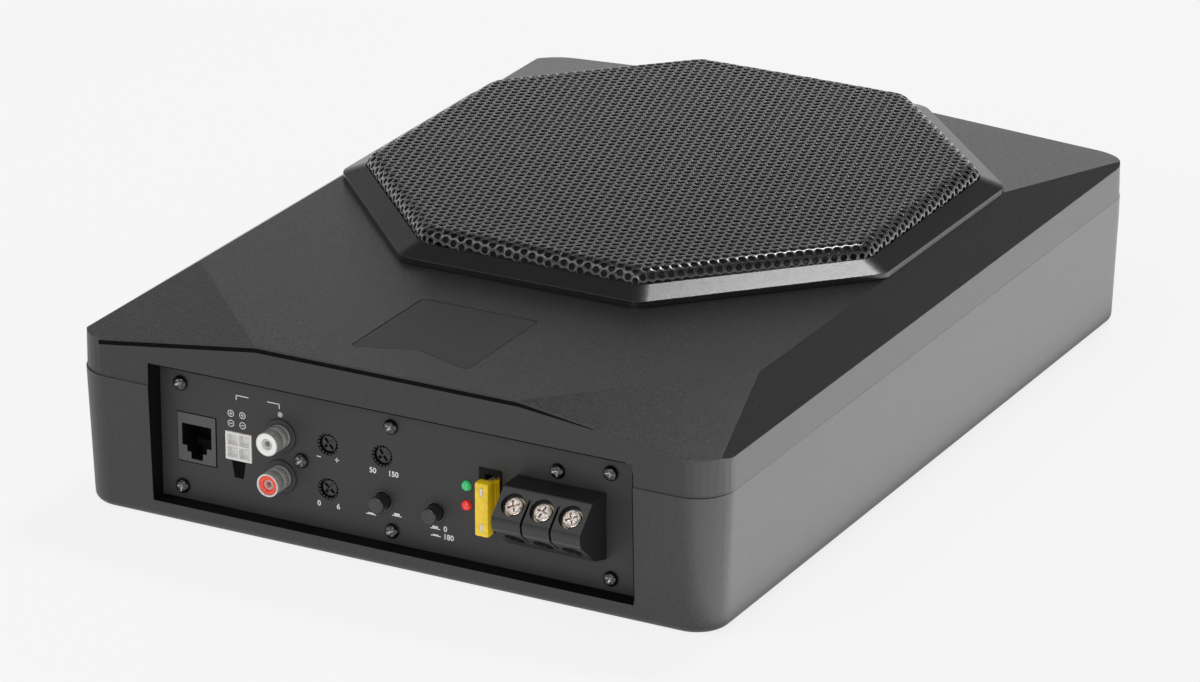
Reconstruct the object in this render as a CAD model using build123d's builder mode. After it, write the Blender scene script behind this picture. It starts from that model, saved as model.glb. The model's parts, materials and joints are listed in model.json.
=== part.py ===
import os
from math import atan2, cos, degrees, hypot, pi, radians, sin

from build123d import *

os.makedirs("parts", exist_ok=True)

# ---------------------------------------------------------------- cabinet
cabinet_width = 247.0
cabinet_depth = 335.0
seam_height = 49.0
corner_radius = 14.0
wall = 3.0
tub_draft = 2.2
skirt_draft = 0.35
seam_step = 0.3
foot_radius = 3.0
deck_height = 71.2
shoulder_height = 61.0
rear_centre_height = 67.2

# ---------------------------------------------------------------- grille frame
frame_half_width = 108.4
frame_half_depth = 113.8
frame_centre_y = 38.0
front_flat_half = 46.3
side_flat_half = 49.0
frame_corner = 9.0
frame_wall_height = 2.1
band_width = 7.8
band_rise = 3.1
lip_thickness = 0.9
grille_sheet = 1.0
grille_rise = 5.6
grille_shoulder = 4.6

# ---------------------------------------------------------------- panel
panel_half_width = 92.6
panel_low = 6.45
panel_high = 56.8
panel_recess = 7.7
panel_thickness = 2.5
panel_play = 0.2
board_gap = 10.3
board_thickness = 1.6
standoff_height = 12.0
screw_shank = 1.5
panel_screw_head = 2.65
left_screw_x = -84.2
right_screw_x = 81.0
middle_screw_x = -2.0
upper_screw_z = 49.0
lower_screw_z = 11.3
jack_screw_x = -37.0
jack_screw_z = 29.8
block_screw_x = 61.2
block_screw_z = 45.8

# ---------------------------------------------------------------- sockets
jack_width = 15.1
jack_height = 17.7
jack_x = -78.4
jack_low = 20.6
plug_width = 11.6
plug_height = 7.9
plug_low = 26.5
plug_depth = 11.5
latch_width = 4.6
latch_drop = 4.7
socket_side = 10.8
socket_x = -61.8
socket_z = 29.8
cavity_side = 3.9
cavity_depth = 9.0
phono_x = -45.1
phono_upper_z = 37.3
phono_lower_z = 22.4
phono_radius = 4.15
phono_root_radius = 3.85
phono_bore = 3.5
phono_reach = 9.3
contact_radius = 1.6
washer_radius = 6.0
washer_thickness = 0.8

# ---------------------------------------------------------------- controls
gain_x = -26.7
lowpass_x = -5.6
phase_x = 14.6
control_upper_z = 37.7
control_lower_z = 21.5
control_body = 9.4
shaft_radius = 2.85
shaft_sink = 1.0
slot_width = 0.8
turning_play = 0.05
cap_radius = 2.9
cap_reach = 5.0
cap_travel = 3.0
led_x = 26.7
led_upper_z = 33.5
led_lower_z = 26.4
led_radius = 1.9

# ---------------------------------------------------------------- fuse
fuse_socket_x = 35.85
fuse_socket_width = 8.9
fuse_socket_low = 18.6
fuse_socket_high = 41.4
fuse_thickness = 5.3
fuse_height = 19.3
fuse_reach = 7.6
fuse_body_length = 11.8
blade_width = 5.2
blade_thickness = 0.7
blade_length = 7.2
blade_spacing = 12.7

# ---------------------------------------------------------------- terminals
block_left = 46.2
block_right = 79.2
block_low = 17.8
block_high = 41.5
block_shelf = 9.2
nose_upper_reach = 18.8
nose_upper_z = 32.6
nose_lower_reach = 17.9
nose_lower_z = 28.7
heel_reach = 7.8
heel_z = 20.0
pole_pitch = 10.75
pole_middle_x = 62.7
nose_radius = 2.5
entry_radius = 3.6
entry_depth = 13.0
clamp_radius = 3.3
clamp_sink = 0.9
clamp_length = 3.6
mouth_margin = 0.9
mouth_depth = 1.5
pad_radius = 2.6
pad_thickness = 0.8
pad_play = 0.05
cage_half_width = 4.6
cage_reach = 11.5

# ---------------------------------------------------------------- driver
well_radius = 103.0
well_floor = 63.0
basket_opening = 94.0
basket_sheet = 1.5
flange_radius = 102.5
screw_circle = 98.8
surround_outer = 95.0
surround_inner = 76.0
roll_centre = 85.5
roll_radius = 5.0
cone_sheet = 1.0
coil_radius = 19.0
cap_dome_radius = 30.0
motor_radius = 46.0
magnet_radius = 50.0
motor_bottom = 6.0
back_plate_thickness = 6.0
magnet_thickness = 13.0
top_plate_thickness = 5.0
gap_play = 0.4

# ---------------------------------------------------------------- emblem
emblem_half_width = 22.6
emblem_near = -152.0
emblem_far = -102.0
emblem_notch = 8.0
emblem_depth = 0.8

# ---------------------------------------------------------------- derived
front_y = -cabinet_depth / 2
rear_y = cabinet_depth / 2
panel_y = front_y + panel_recess
panel_back = panel_y + panel_thickness
board_y = panel_back + board_gap
deck_crease_x = frame_half_width
shoulder_x = cabinet_width / 2 - seam_step
front_crease_y = -107.6
rear_crease_y = frame_centre_y + side_flat_half
front_crest_x = 49.8
frame_top = deck_height + frame_wall_height
grille_seat = frame_top + 1.3
case_posts = [(x, y) for x in (-112.5, 112.5) for y in (-146.0, -8.0, 150.0)]
standoff_xs = (-82.0, 82.0)
amplifier_front = board_y + board_thickness + 2.4
standoff_ys = (amplifier_front + 7.0, -80.0)
board_top = standoff_height + board_thickness
pole_xs = [pole_middle_x - pole_pitch, pole_middle_x, pole_middle_x + pole_pitch]


def save(block, label):
    block.part.label = label
    export_step(block.part, "parts/" + label + ".step")


def span(x0, x1, y0, y1, z0, z1, mode=Mode.ADD):
    """A box between two corners, in the open builder."""
    with Locations(((x0 + x1) / 2, (y0 + y1) / 2, (z0 + z1) / 2)):
        Box(x1 - x0, y1 - y0, z1 - z0, mode=mode)


def rod(x, z, y0, y1, radius, mode=Mode.ADD):
    """A cylinder square to the panel, in the open builder."""
    with Locations(Location((x, (y0 + y1) / 2, z), (90, 0, 0))):
        Cylinder(radius, y1 - y0, mode=mode)


def post(x, y, z0, z1, radius, mode=Mode.ADD):
    """An upright cylinder, in the open builder."""
    with Locations((x, y, (z0 + z1) / 2)):
        Cylinder(radius, z1 - z0, mode=mode)


def facet(p, q, r, inset):
    """The sloping plane through three corners, moved inwards."""
    u = Vector(*q) - Vector(*p)
    v = Vector(*r) - Vector(*p)
    n = u.cross(v).normalized()
    if n.Z < 0:
        n = n * -1
    return Plane(origin=Vector(*p) - n * inset, z_dir=n)


def crown(inset, base):
    """The cover's outer form, moved inwards by inset, standing on base."""
    sx = shoulder_x
    sy = rear_y - seam_step
    cx = deck_crease_x
    planes = [Plane(origin=(0, 0, deck_height - inset), z_dir=(0, 0, 1))]
    for side in (-1, 1):
        near = (side * cx, front_crease_y, deck_height)
        far = (side * cx, rear_crease_y, deck_height)
        front_low = (side * sx, -sy, shoulder_height)
        rear_low = (side * sx, sy, shoulder_height)
        crest = (side * front_crest_x, -sy, deck_height)
        rear_mid = (0, sy, rear_centre_height)
        planes.append(facet(near, far, (side * sx, 0, shoulder_height), inset))
        planes.append(facet(near, crest, front_low, inset))
        planes.append(facet(far, rear_low, rear_mid, inset))
    with BuildPart() as block:
        with BuildSketch(Plane.XY.offset(base)):
            RectangleRounded(
                cabinet_width - 2 * seam_step - 2 * inset,
                cabinet_depth - 2 * seam_step - 2 * inset,
                corner_radius - inset,
            )
        extrude(amount=deck_height + 8 - base, taper=skirt_draft)
        for plane in planes:
            split(bisect_by=plane, keep=Keep.BOTTOM)
    return block.part


def octagon(inset):
    """Corners of the grille outline, moved inwards by inset."""
    hw = frame_half_width
    hd = frame_half_depth
    run = hypot(hd - side_flat_half, hw - front_flat_half)
    nx = (hd - side_flat_half) / run
    ny = (hw - front_flat_half) / run
    reach = nx * front_flat_half + ny * hd - inset
    x = (reach - ny * (hd - inset)) / nx
    y = (reach - nx * (hw - inset)) / ny
    quarter = [(hw - inset, y), (x, hd - inset)]
    ring = quarter + [(-p[0], p[1]) for p in reversed(quarter)]
    ring = ring + [(-p[0], -p[1]) for p in quarter]
    ring = ring + [(p[0], -p[1]) for p in reversed(quarter)]
    return [(p[0], p[1] + frame_centre_y) for p in ring]


def octagon_face(inset, z, corner):
    """A closed octagon with rounded corners, as a sketch at height z."""
    with BuildSketch(Plane.XY.offset(z)) as outline:
        with BuildLine():
            Polyline(*octagon(inset), close=True)
        make_face()
        fillet(outline.vertices(), corner)
    return outline.sketch


def octagon_stack(steps, corner):
    """A solid through octagons given as inset and height."""
    with BuildPart() as stack:
        for inset, z in steps:
            add(octagon_face(inset, z, corner))
        loft(ruled=True)
    return stack.part


def ring_profile(points, centre_y=frame_centre_y):
    """A turned piece about the driver axis from radius and height pairs."""
    with BuildPart() as turned:
        with BuildSketch(Plane(origin=(0, centre_y, 0), x_dir=(1, 0, 0), z_dir=(0, -1, 0))):
            with BuildLine():
                Polyline(*points, close=True)
            make_face()
        revolve(axis=Axis((0, centre_y, 0), (0, 0, 1)))
    return turned.part


outer_crown = crown(0.0, seam_height)
inner_crown = crown(wall, seam_height - 2)

# ---------------------------------------------------------------- bottom tub
seam_down = Plane(origin=(0, 0, seam_height), x_dir=(1, 0, 0), z_dir=(0, 0, -1))
opening = panel_half_width
collar = opening + wall
boss_back = board_y

with BuildPart() as bottom_tub:
    with BuildSketch(seam_down):
        RectangleRounded(cabinet_width, cabinet_depth, corner_radius)
    extrude(amount=seam_height, taper=tub_draft)
    fillet(bottom_tub.faces().sort_by(Axis.Z)[0].edges(), foot_radius)
    with BuildSketch(seam_down):
        RectangleRounded(cabinet_width - 2 * wall, cabinet_depth - 2 * wall, corner_radius - wall)
    extrude(amount=seam_height - wall, taper=tub_draft, mode=Mode.SUBTRACT)
    # collar round the panel opening
    span(-collar, collar, front_y + 2.5, panel_back, wall - 0.5, seam_height)
    span(-opening, opening, front_y - 5, panel_back + 1, panel_low, seam_height + 5, mode=Mode.SUBTRACT)
    # bosses behind the panel
    for x0, x1 in ((-opening - 1, left_screw_x + 4.5), (right_screw_x - 4.5, opening + 1)):
        span(x0, x1, panel_back, boss_back, seam_height - 5.5, seam_height)
        span(max(x0, -opening + 0.4), min(x1, opening - 0.4), panel_back, boss_back,
             seam_height - 1, seam_height + 4.5)
        span(x0, x1, panel_back, boss_back, wall - 0.5, lower_screw_z + 4.5)
    span(middle_screw_x - 4.5, middle_screw_x + 9, panel_back, boss_back, seam_height - 5, seam_height + 4.5)
    span(middle_screw_x - 4.5, middle_screw_x + 9, panel_back, boss_back, wall - 0.5, lower_screw_z + 4.5)
    span(middle_screw_x + 4, middle_screw_x + 9, panel_back, boss_back, wall - 0.5, seam_height)
    for x in (left_screw_x, middle_screw_x, right_screw_x):
        for z in (upper_screw_z, lower_screw_z):
            rod(x, z, panel_back - 1, board_y + 1, screw_shank - 0.2, mode=Mode.SUBTRACT)
    # posts for the case screws
    for x, y in case_posts:
        post(x, y, wall - 0.5, seam_height, 5.0)
        post(x, y, -1, 38.0, 3.3, mode=Mode.SUBTRACT)
        post(x, y, 37.0, seam_height + 1, 1.7, mode=Mode.SUBTRACT)
    # standoffs for the amplifier board
    for x in standoff_xs:
        for y in standoff_ys:
            post(x, y, wall - 0.5, standoff_height, 4.0)
            post(x, y, standoff_height - 7, standoff_height + 1, 1.2, mode=Mode.SUBTRACT)
save(bottom_tub, "bottom_tub")

# ---------------------------------------------------------------- top cover
with BuildPart() as well:
    post(0, frame_centre_y, well_floor - wall, deck_height, well_radius + wall)
    add(outer_crown, mode=Mode.INTERSECT)

with BuildPart() as cover_posts:
    for x, y in case_posts:
        post(x, y, seam_height, deck_height, 5.0)
    span(-collar, collar, front_y + 2, panel_back, seam_height, panel_high + wall)
    add(outer_crown, mode=Mode.INTERSECT)

frame_pins = octagon(2.7)
emblem_points = [
    (-emblem_half_width, emblem_far),
    (-emblem_half_width, emblem_near),
    (0, emblem_near + emblem_notch),
    (emblem_half_width, emblem_near),
    (emblem_half_width, emblem_far),
]

with BuildPart() as top_cover:
    add(outer_crown)
    add(inner_crown, mode=Mode.SUBTRACT)
    add(well.part)
    add(cover_posts.part)
    post(0, frame_centre_y, 30.0, 90.0, basket_opening, mode=Mode.SUBTRACT)
    post(0, frame_centre_y, well_floor, 90.0, well_radius, mode=Mode.SUBTRACT)
    with Locations((0, frame_centre_y, well_floor - wall - 4)):
        with PolarLocations(screw_circle, 8, start_angle=22.5):
            Cylinder(3.6, 8.2)
    with Locations((0, frame_centre_y, well_floor - 4)):
        with PolarLocations(screw_circle, 8, start_angle=22.5):
            Cylinder(1.5, 12.0, mode=Mode.SUBTRACT)
    span(-opening, opening, front_y - 5, panel_back + 1, seam_height - 5, panel_high, mode=Mode.SUBTRACT)
    for x, y in case_posts:
        post(x, y, seam_height - 1, 58.0, 1.4, mode=Mode.SUBTRACT)
    for x, y in frame_pins:
        post(x, y, 55.0, 80.0, 1.8, mode=Mode.SUBTRACT)
    with BuildSketch(Plane.XY.offset(deck_height - emblem_depth)) as emblem_seat:
        with BuildLine():
            Polyline(*emblem_points, close=True)
        make_face()
        fillet(emblem_seat.vertices(), 1.8)
    extrude(amount=emblem_depth + 1, mode=Mode.SUBTRACT)
save(top_cover, "top_cover")

with BuildPart() as emblem_plate:
    with BuildSketch(Plane.XY.offset(deck_height - emblem_depth)) as emblem_outline:
        with BuildLine():
            Polyline(*emblem_points, close=True)
        make_face()
        fillet(emblem_outline.vertices(), 1.8)
        offset(amount=-0.25)
    extrude(amount=emblem_depth)
save(emblem_plate, "emblem_plate")

# ---------------------------------------------------------------- grille frame and grille
frame_slope = octagon_stack([(0.0, frame_top), (band_width, frame_top + band_rise)], frame_corner)
with BuildPart() as grille_frame:
    with BuildSketch(Plane.XY.offset(rear_centre_height - 3)) as frame_foot:
        with BuildLine():
            Polyline(*octagon(0.0), close=True)
        make_face()
        fillet(frame_foot.vertices(), frame_corner)
    extrude(amount=frame_top - rear_centre_height + 3)
    add(frame_slope)
    with BuildSketch(Plane.XY.offset(rear_centre_height - 4)) as frame_hole:
        with BuildLine():
            Polyline(*octagon(band_width), close=True)
        make_face()
        fillet(frame_hole.vertices(), frame_corner)
    extrude(amount=20, mode=Mode.SUBTRACT)
    with BuildSketch(Plane.XY.offset(rear_centre_height - 4)) as frame_rebate:
        with BuildLine():
            Polyline(*octagon(band_width - 2.5), close=True)
        make_face()
        fillet(frame_rebate.vertices(), frame_corner)
    extrude(amount=grille_seat - rear_centre_height + 4, mode=Mode.SUBTRACT)
    add(outer_crown, mode=Mode.SUBTRACT)
    for x, y in frame_pins:
        post(x, y, 62.0, frame_top - 1, 1.8)
save(grille_frame, "grille_frame")

rim = band_width + 0.3
top = grille_seat
crest = top + grille_rise + 0.8
outer_steps = [(rim, top - grille_sheet), (rim, top + 2.0), (rim + 1.2, top + 4.4)]
outer_steps = outer_steps + [(rim + grille_shoulder, top + grille_rise + 0.8), (rim + 40, crest + 1.0)]
inner_steps = [(rim + grille_sheet, top - grille_sheet - 0.1), (rim + grille_sheet, top + 1.8)]
inner_steps = inner_steps + [(rim + grille_sheet + 1.1, top + 3.8)]
inner_steps = inner_steps + [(rim + grille_shoulder + 0.6, crest - grille_sheet), (rim + 40, crest + 1.0 - grille_sheet)]
grille_outer = octagon_stack(outer_steps, frame_corner)
grille_inner = octagon_stack(inner_steps, frame_corner)
with BuildPart() as grille:
    add(octagon_face(band_width - 2.3, top - grille_sheet, frame_corner))
    extrude(amount=grille_sheet)
    add(grille_outer)
    add(grille_inner, mode=Mode.SUBTRACT)
save(grille, "grille")

# ---------------------------------------------------------------- control panel
panel_play_half = opening - panel_play
with BuildPart() as control_panel:
    span(-panel_play_half, panel_play_half, panel_y, panel_back, panel_low + panel_play, panel_high - panel_play)
    for x in (left_screw_x, middle_screw_x, right_screw_x):
        for z in (upper_screw_z, lower_screw_z):
            rod(x, z, panel_y - 1, panel_back + 1, screw_shank, mode=Mode.SUBTRACT)
    for x, z in ((jack_screw_x, jack_screw_z), (block_screw_x, block_screw_z)):
        rod(x, z, panel_y - 1, panel_back + 1, screw_shank, mode=Mode.SUBTRACT)
    span(jack_x - jack_width / 2, jack_x + jack_width / 2, panel_y - 1, panel_back + 1,
         jack_low, jack_low + jack_height, mode=Mode.SUBTRACT)
    span(socket_x - socket_side / 2, socket_x + socket_side / 2, panel_y - 1, panel_back + 1,
         socket_z - socket_side / 2, socket_z + socket_side / 2, mode=Mode.SUBTRACT)
    with BuildSketch(Plane(origin=(socket_x, panel_y, socket_z), x_dir=(1, 0, 0), z_dir=(0, -1, 0))):
        with BuildLine():
            Polyline((-2.6, -socket_side / 2 - 0.6), (2.6, -socket_side / 2 - 0.6), (1.7, -11.4), (-1.7, -11.4),
                     close=True)
        make_face()
    extrude(amount=-1.6, mode=Mode.SUBTRACT)
    for z in (phono_upper_z, phono_lower_z):
        rod(phono_x, z, panel_y - 1, panel_back + 1, phono_root_radius, mode=Mode.SUBTRACT)
    for x, z in ((gain_x, control_upper_z), (gain_x, control_lower_z), (lowpass_x, control_upper_z),
                 (lowpass_x, control_lower_z), (phase_x, control_lower_z)):
        rod(x, z, panel_y - 1, panel_back + 1, 4.0, mode=Mode.SUBTRACT)
    for z in (led_upper_z, led_lower_z):
        rod(led_x, z, panel_y - 1, panel_back + 1, led_radius, mode=Mode.SUBTRACT)
    span(fuse_socket_x - fuse_socket_width / 2, fuse_socket_x + fuse_socket_width / 2, panel_y - 1,
         panel_back + 1, fuse_socket_low, fuse_socket_high, mode=Mode.SUBTRACT)
    span(block_left, block_right, panel_y - 1, panel_back + 1, block_low, block_high, mode=Mode.SUBTRACT)
save(control_panel, "control_panel")


def panel_screw(x, z, y_head, reach):
    """A cross-head screw square to the panel."""
    rod(x, z, y_head - 0.1, y_head + reach, screw_shank - 0.2)
    rod(x, z, y_head - 1.7, y_head, panel_screw_head)
    span(x - 1.7, x + 1.7, y_head - 2.7, y_head - 0.7, z - 0.35, z + 0.35, mode=Mode.SUBTRACT)
    span(x - 0.35, x + 0.35, y_head - 2.7, y_head - 0.7, z - 1.7, z + 1.7, mode=Mode.SUBTRACT)


with BuildPart() as panel_screws:
    for x in (left_screw_x, middle_screw_x, right_screw_x):
        for z in (upper_screw_z, lower_screw_z):
            panel_screw(x, z, panel_y, panel_thickness + 7.5)
    panel_screw(jack_screw_x, jack_screw_z, panel_y, panel_thickness + 7.5)
    panel_screw(block_screw_x, block_screw_z, panel_y, panel_thickness + 7.5)
save(panel_screws, "panel_screws")

# ---------------------------------------------------------------- control board
with BuildPart() as control_board:
    span(-90.0, 90.0, board_y, board_y + board_thickness, wall + 2, seam_height + 5)
    for x in (left_screw_x, right_screw_x):
        for z in (upper_screw_z, lower_screw_z):
            rod(x, z, board_y - 1, board_y + 3, 1.2, mode=Mode.SUBTRACT)
save(control_board, "control_board")

# ---------------------------------------------------------------- remote jack
with BuildPart() as remote_jack:
    span(jack_x - jack_width / 2, jack_x + jack_width / 2, panel_y - 0.1, board_y, jack_low, jack_low + jack_height)
    span(jack_x - plug_width / 2, jack_x + plug_width / 2, panel_y - 1, panel_y + plug_depth,
         plug_low, plug_low + plug_height, mode=Mode.SUBTRACT)
    span(jack_x - latch_width / 2, jack_x + latch_width / 2, panel_y - 1, panel_y + 7,
         plug_low - latch_drop, plug_low + 1, mode=Mode.SUBTRACT)
    span(jack_x - latch_width / 2 - 1.6, jack_x + latch_width / 2 + 1.6, panel_y - 1, panel_y + 7,
         plug_low - 2.2, plug_low + 1, mode=Mode.SUBTRACT)
save(remote_jack, "remote_jack")

contact_plane = Plane(origin=(jack_x - 3.57, panel_y, plug_low + plug_height), x_dir=(0, 1, 0), z_dir=(1, 0, 0))
with BuildPart() as remote_jack_contacts:
    with BuildSketch(contact_plane):
        with BuildLine():
            Polyline((2.0, 0.0), (2.6, 0.0), (plug_depth, -2.9), (plug_depth, -3.4), close=True)
        make_face()
    one_contact = extrude(amount=0.45, mode=Mode.PRIVATE)
    for k in range(8):
        add(Pos(1.02 * k - 0.22, 0, 0) * one_contact)
save(remote_jack_contacts, "remote_jack_contacts")

# ---------------------------------------------------------------- high-level input socket
with BuildPart() as high_level_socket:
    half = socket_side / 2 - 0.25
    pitch = cavity_side + 0.75
    span(socket_x - half, socket_x + half, panel_y - 0.2, board_y, socket_z - half, socket_z + half)
    for sx in (-0.5, 0.5):
        for sz in (-0.5, 0.5):
            x = socket_x + sx * pitch
            z = socket_z + sz * pitch
            span(x - cavity_side / 2, x + cavity_side / 2, panel_y - 1, panel_y + cavity_depth,
                 z - cavity_side / 2, z + cavity_side / 2, mode=Mode.SUBTRACT)
save(high_level_socket, "high_level_socket")

with BuildPart() as high_level_pins:
    for sx in (-0.5, 0.5):
        for sz in (-0.5, 0.5):
            x = socket_x + sx * (cavity_side + 0.75)
            z = socket_z + sz * (cavity_side + 0.75)
            span(x - 0.5, x + 0.5, panel_y + 2, panel_y + cavity_depth, z - 0.5, z + 0.5)
save(high_level_pins, "high_level_pins")

# ---------------------------------------------------------------- phono sockets
phono_back = board_y
with BuildPart() as phono_housing:
    span(phono_x - 6.5, jack_screw_x + 3.2, panel_back, phono_back, phono_lower_z - 7, phono_upper_z + 7)
    for z in (phono_upper_z, phono_lower_z):
        rod(phono_x, z, panel_back - 1, panel_back + 7, phono_root_radius, mode=Mode.SUBTRACT)
    rod(jack_screw_x, jack_screw_z, panel_back - 1, panel_back + 8, screw_shank - 0.2, mode=Mode.SUBTRACT)
save(phono_housing, "phono_housing")

with BuildPart() as phono_shells:
    for z in (phono_upper_z, phono_lower_z):
        rod(phono_x, z, panel_y - phono_reach, panel_y - washer_thickness - 0.1, phono_radius)
        rod(phono_x, z, panel_y - washer_thickness - 0.2, panel_back + 7, phono_root_radius)
        rod(phono_x, z, panel_y - phono_reach - 1, panel_back + 7, phono_bore, mode=Mode.SUBTRACT)
save(phono_shells, "phono_shells")

with BuildPart() as phono_washers:
    for z in (phono_upper_z, phono_lower_z):
        rod(phono_x, z, panel_y - washer_thickness, panel_y, washer_radius)
        rod(phono_x, z, panel_y - washer_thickness - 1, panel_y + 1, phono_root_radius, mode=Mode.SUBTRACT)
save(phono_washers, "phono_washers")

for label, z in (("left_phono_insulator", phono_upper_z), ("right_phono_insulator", phono_lower_z)):
    with BuildPart() as insulator:
        rod(phono_x, z, panel_y - phono_reach + 0.6, panel_back + 7, phono_bore)
        rod(phono_x, z, panel_y - phono_reach - 1, panel_back + 7, contact_radius, mode=Mode.SUBTRACT)
    save(insulator, label)

with BuildPart() as phono_contacts:
    for z in (phono_upper_z, phono_lower_z):
        rod(phono_x, z, panel_y - phono_reach + 1.6, panel_back + 7, contact_radius)
        rod(phono_x, z, panel_y - phono_reach, panel_back + 3, contact_radius - 0.3, mode=Mode.SUBTRACT)
save(phono_contacts, "phono_contacts")

# ---------------------------------------------------------------- trimmers and push buttons
body_front = panel_back + 1.3
shaft_front = panel_y + shaft_sink
trimmer_spots = (("gain_trimmer", gain_x, control_upper_z), ("bass_trimmer", gain_x, control_lower_z),
                 ("lowpass_trimmer", lowpass_x, control_upper_z))
button_spots = (("auto_button", lowpass_x, control_lower_z), ("phase_button", phase_x, control_lower_z))

with BuildPart() as trimmer_bodies:
    for label, x, z in trimmer_spots:
        half = control_body / 2
        span(x - half, x + half, body_front, board_y, z - half, z + half)
        rod(x, z, body_front - 1, board_y - 1.5, shaft_radius + turning_play, mode=Mode.SUBTRACT)
save(trimmer_bodies, "trimmer_bodies")

for label, x, z in trimmer_spots:
    with BuildPart() as shaft:
        rod(x, z, shaft_front, board_y - 1.6, shaft_radius)
        span(x - 2, x + 2, shaft_front - 1, shaft_front + 0.9, z - slot_width / 2, z + slot_width / 2,
             mode=Mode.SUBTRACT)
        span(x - slot_width / 2, x + slot_width / 2, shaft_front - 1, shaft_front + 0.9, z - 2, z + 2,
             mode=Mode.SUBTRACT)
    save(shaft, label)

with BuildPart() as switch_bodies:
    for label, x, z in button_spots:
        half = control_body / 2 - 0.5
        span(x - half, x + half, body_front, board_y, z - half, z + half)
        rod(x, z, body_front - 1, board_y - 1.0, cap_radius + turning_play, mode=Mode.SUBTRACT)
save(switch_bodies, "switch_bodies")

for label, x, z in button_spots:
    with BuildPart() as cap:
        rod(x, z, panel_y - cap_reach, board_y - 1.2 - cap_travel, cap_radius)
        fillet(cap.faces().sort_by(Axis.Y)[0].edges(), 0.4)
    save(cap, label)

for label, z in (("power_led", led_upper_z), ("protect_led", led_lower_z)):
    with BuildPart() as led:
        rod(led_x, z, panel_y - 0.2, board_y - 3.0, led_radius)
        fillet(led.faces().sort_by(Axis.Y)[0].edges(), 1.2)
        span(led_x - 1.5, led_x - 1.0, board_y - 3.5, board_y, z - 0.25, z + 0.25)
        span(led_x + 1.0, led_x + 1.5, board_y - 3.5, board_y, z - 0.25, z + 0.25)
    save(led, label)

# ---------------------------------------------------------------- fuse
fuse_z = (fuse_socket_low + fuse_socket_high) / 2 - 0.6
fuse_x = fuse_socket_x + 0.6
fuse_front = panel_y - fuse_reach
fuse_back = fuse_front + fuse_body_length
slip = 0.15
with BuildPart() as fuse_socket:
    span(fuse_socket_x - fuse_socket_width / 2, fuse_socket_x + fuse_socket_width / 2, panel_y - 0.1,
         board_y, fuse_socket_low, fuse_socket_high)
    span(fuse_x - fuse_thickness / 2 - slip, fuse_x + fuse_thickness / 2 + slip, panel_y - 1,
         fuse_back + slip, fuse_z - fuse_height / 2 - slip, fuse_z + fuse_height / 2 + slip, mode=Mode.SUBTRACT)
    for s in (-0.5, 0.5):
        z = fuse_z + s * blade_spacing
        span(fuse_x - 1.5, fuse_x + 1.5, fuse_back, fuse_back + blade_length + 0.4,
             z - blade_width / 2 - 0.4, z + blade_width / 2 + 0.4, mode=Mode.SUBTRACT)
save(fuse_socket, "fuse_socket")

with BuildPart() as fuse_clips:
    for s in (-0.5, 0.5):
        z = fuse_z + s * blade_spacing
        span(fuse_x - 1.5, fuse_x + 1.5, fuse_back + 0.6, fuse_back + blade_length + 0.4,
             z - blade_width / 2 - 0.4, z + blade_width / 2 + 0.4)
        span(fuse_x - blade_thickness / 2 - 0.05, fuse_x + blade_thickness / 2 + 0.05, fuse_back,
             fuse_back + blade_length + 0.2, z - blade_width / 2 - 1, z + blade_width / 2 + 1, mode=Mode.SUBTRACT)
save(fuse_clips, "fuse_clips")

with BuildPart() as fuse_body:
    span(fuse_x - fuse_thickness / 2, fuse_x + fuse_thickness / 2, fuse_front, fuse_back,
         fuse_z - fuse_height / 2, fuse_z + fuse_height / 2)
    fillet(fuse_body.faces().sort_by(Axis.Y)[0].edges().filter_by(Axis.X), 1.6)
    for s in (-0.5, 0.5):
        z = fuse_z + s * blade_spacing
        span(fuse_x - 1.0, fuse_x + 1.0, fuse_front - 1, fuse_front + 1.2, z - 1.6, z + 1.6, mode=Mode.SUBTRACT)
        span(fuse_x - blade_thickness / 2, fuse_x + blade_thickness / 2, fuse_front + 1.2, fuse_back + 1,
             z - blade_width / 2, z + blade_width / 2, mode=Mode.SUBTRACT)
save(fuse_body, "fuse_body")

with BuildPart() as fuse_blades:
    for s in (-0.5, 0.5):
        z = fuse_z + s * blade_spacing
        span(fuse_x - blade_thickness / 2, fuse_x + blade_thickness / 2, fuse_front + 1.2,
             fuse_back + blade_length, z - blade_width / 2, z + blade_width / 2)
save(fuse_blades, "fuse_blades")

# ---------------------------------------------------------------- terminal block
def reach_point(depth, z):
    return (panel_y - depth, z)


upper_run = nose_upper_reach - block_shelf
upper_fall = block_high - nose_upper_z
upper_len = hypot(upper_run, upper_fall)
screw_out = Vector(0, -upper_fall / upper_len, upper_run / upper_len)
screw_spot = (block_shelf + nose_upper_reach) / 2, (block_high + nose_upper_z) / 2
lower_run = nose_lower_reach - heel_reach
lower_fall = nose_lower_z - heel_z
lower_len = hypot(lower_run, lower_fall)
entry_out = Vector(0, -lower_fall / lower_len, -lower_run / lower_len)
entry_spot = (nose_lower_reach + heel_reach) / 2, (nose_lower_z + heel_z) / 2


def screw_plane(x, sink):
    """Plane across the clamp screw axis, sunk below the upper face."""
    face = Vector(x, panel_y - screw_spot[0], screw_spot[1])
    return Plane(origin=face - screw_out * sink, x_dir=(1, 0, 0), z_dir=screw_out)


def entry_plane(x, sink):
    """Plane across the wire entry axis, sunk below the lower face."""
    face = Vector(x, panel_y - entry_spot[0], entry_spot[1])
    return Plane(origin=face - entry_out * sink, x_dir=(1, 0, 0), z_dir=entry_out)


block_profile = [
    reach_point(-panel_thickness - board_gap, block_high), reach_point(block_shelf, block_high),
    reach_point(nose_upper_reach, nose_upper_z), reach_point(nose_lower_reach, nose_lower_z),
    reach_point(heel_reach, heel_z), reach_point(0, block_low),
    reach_point(-panel_thickness - board_gap, block_low),
]

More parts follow.
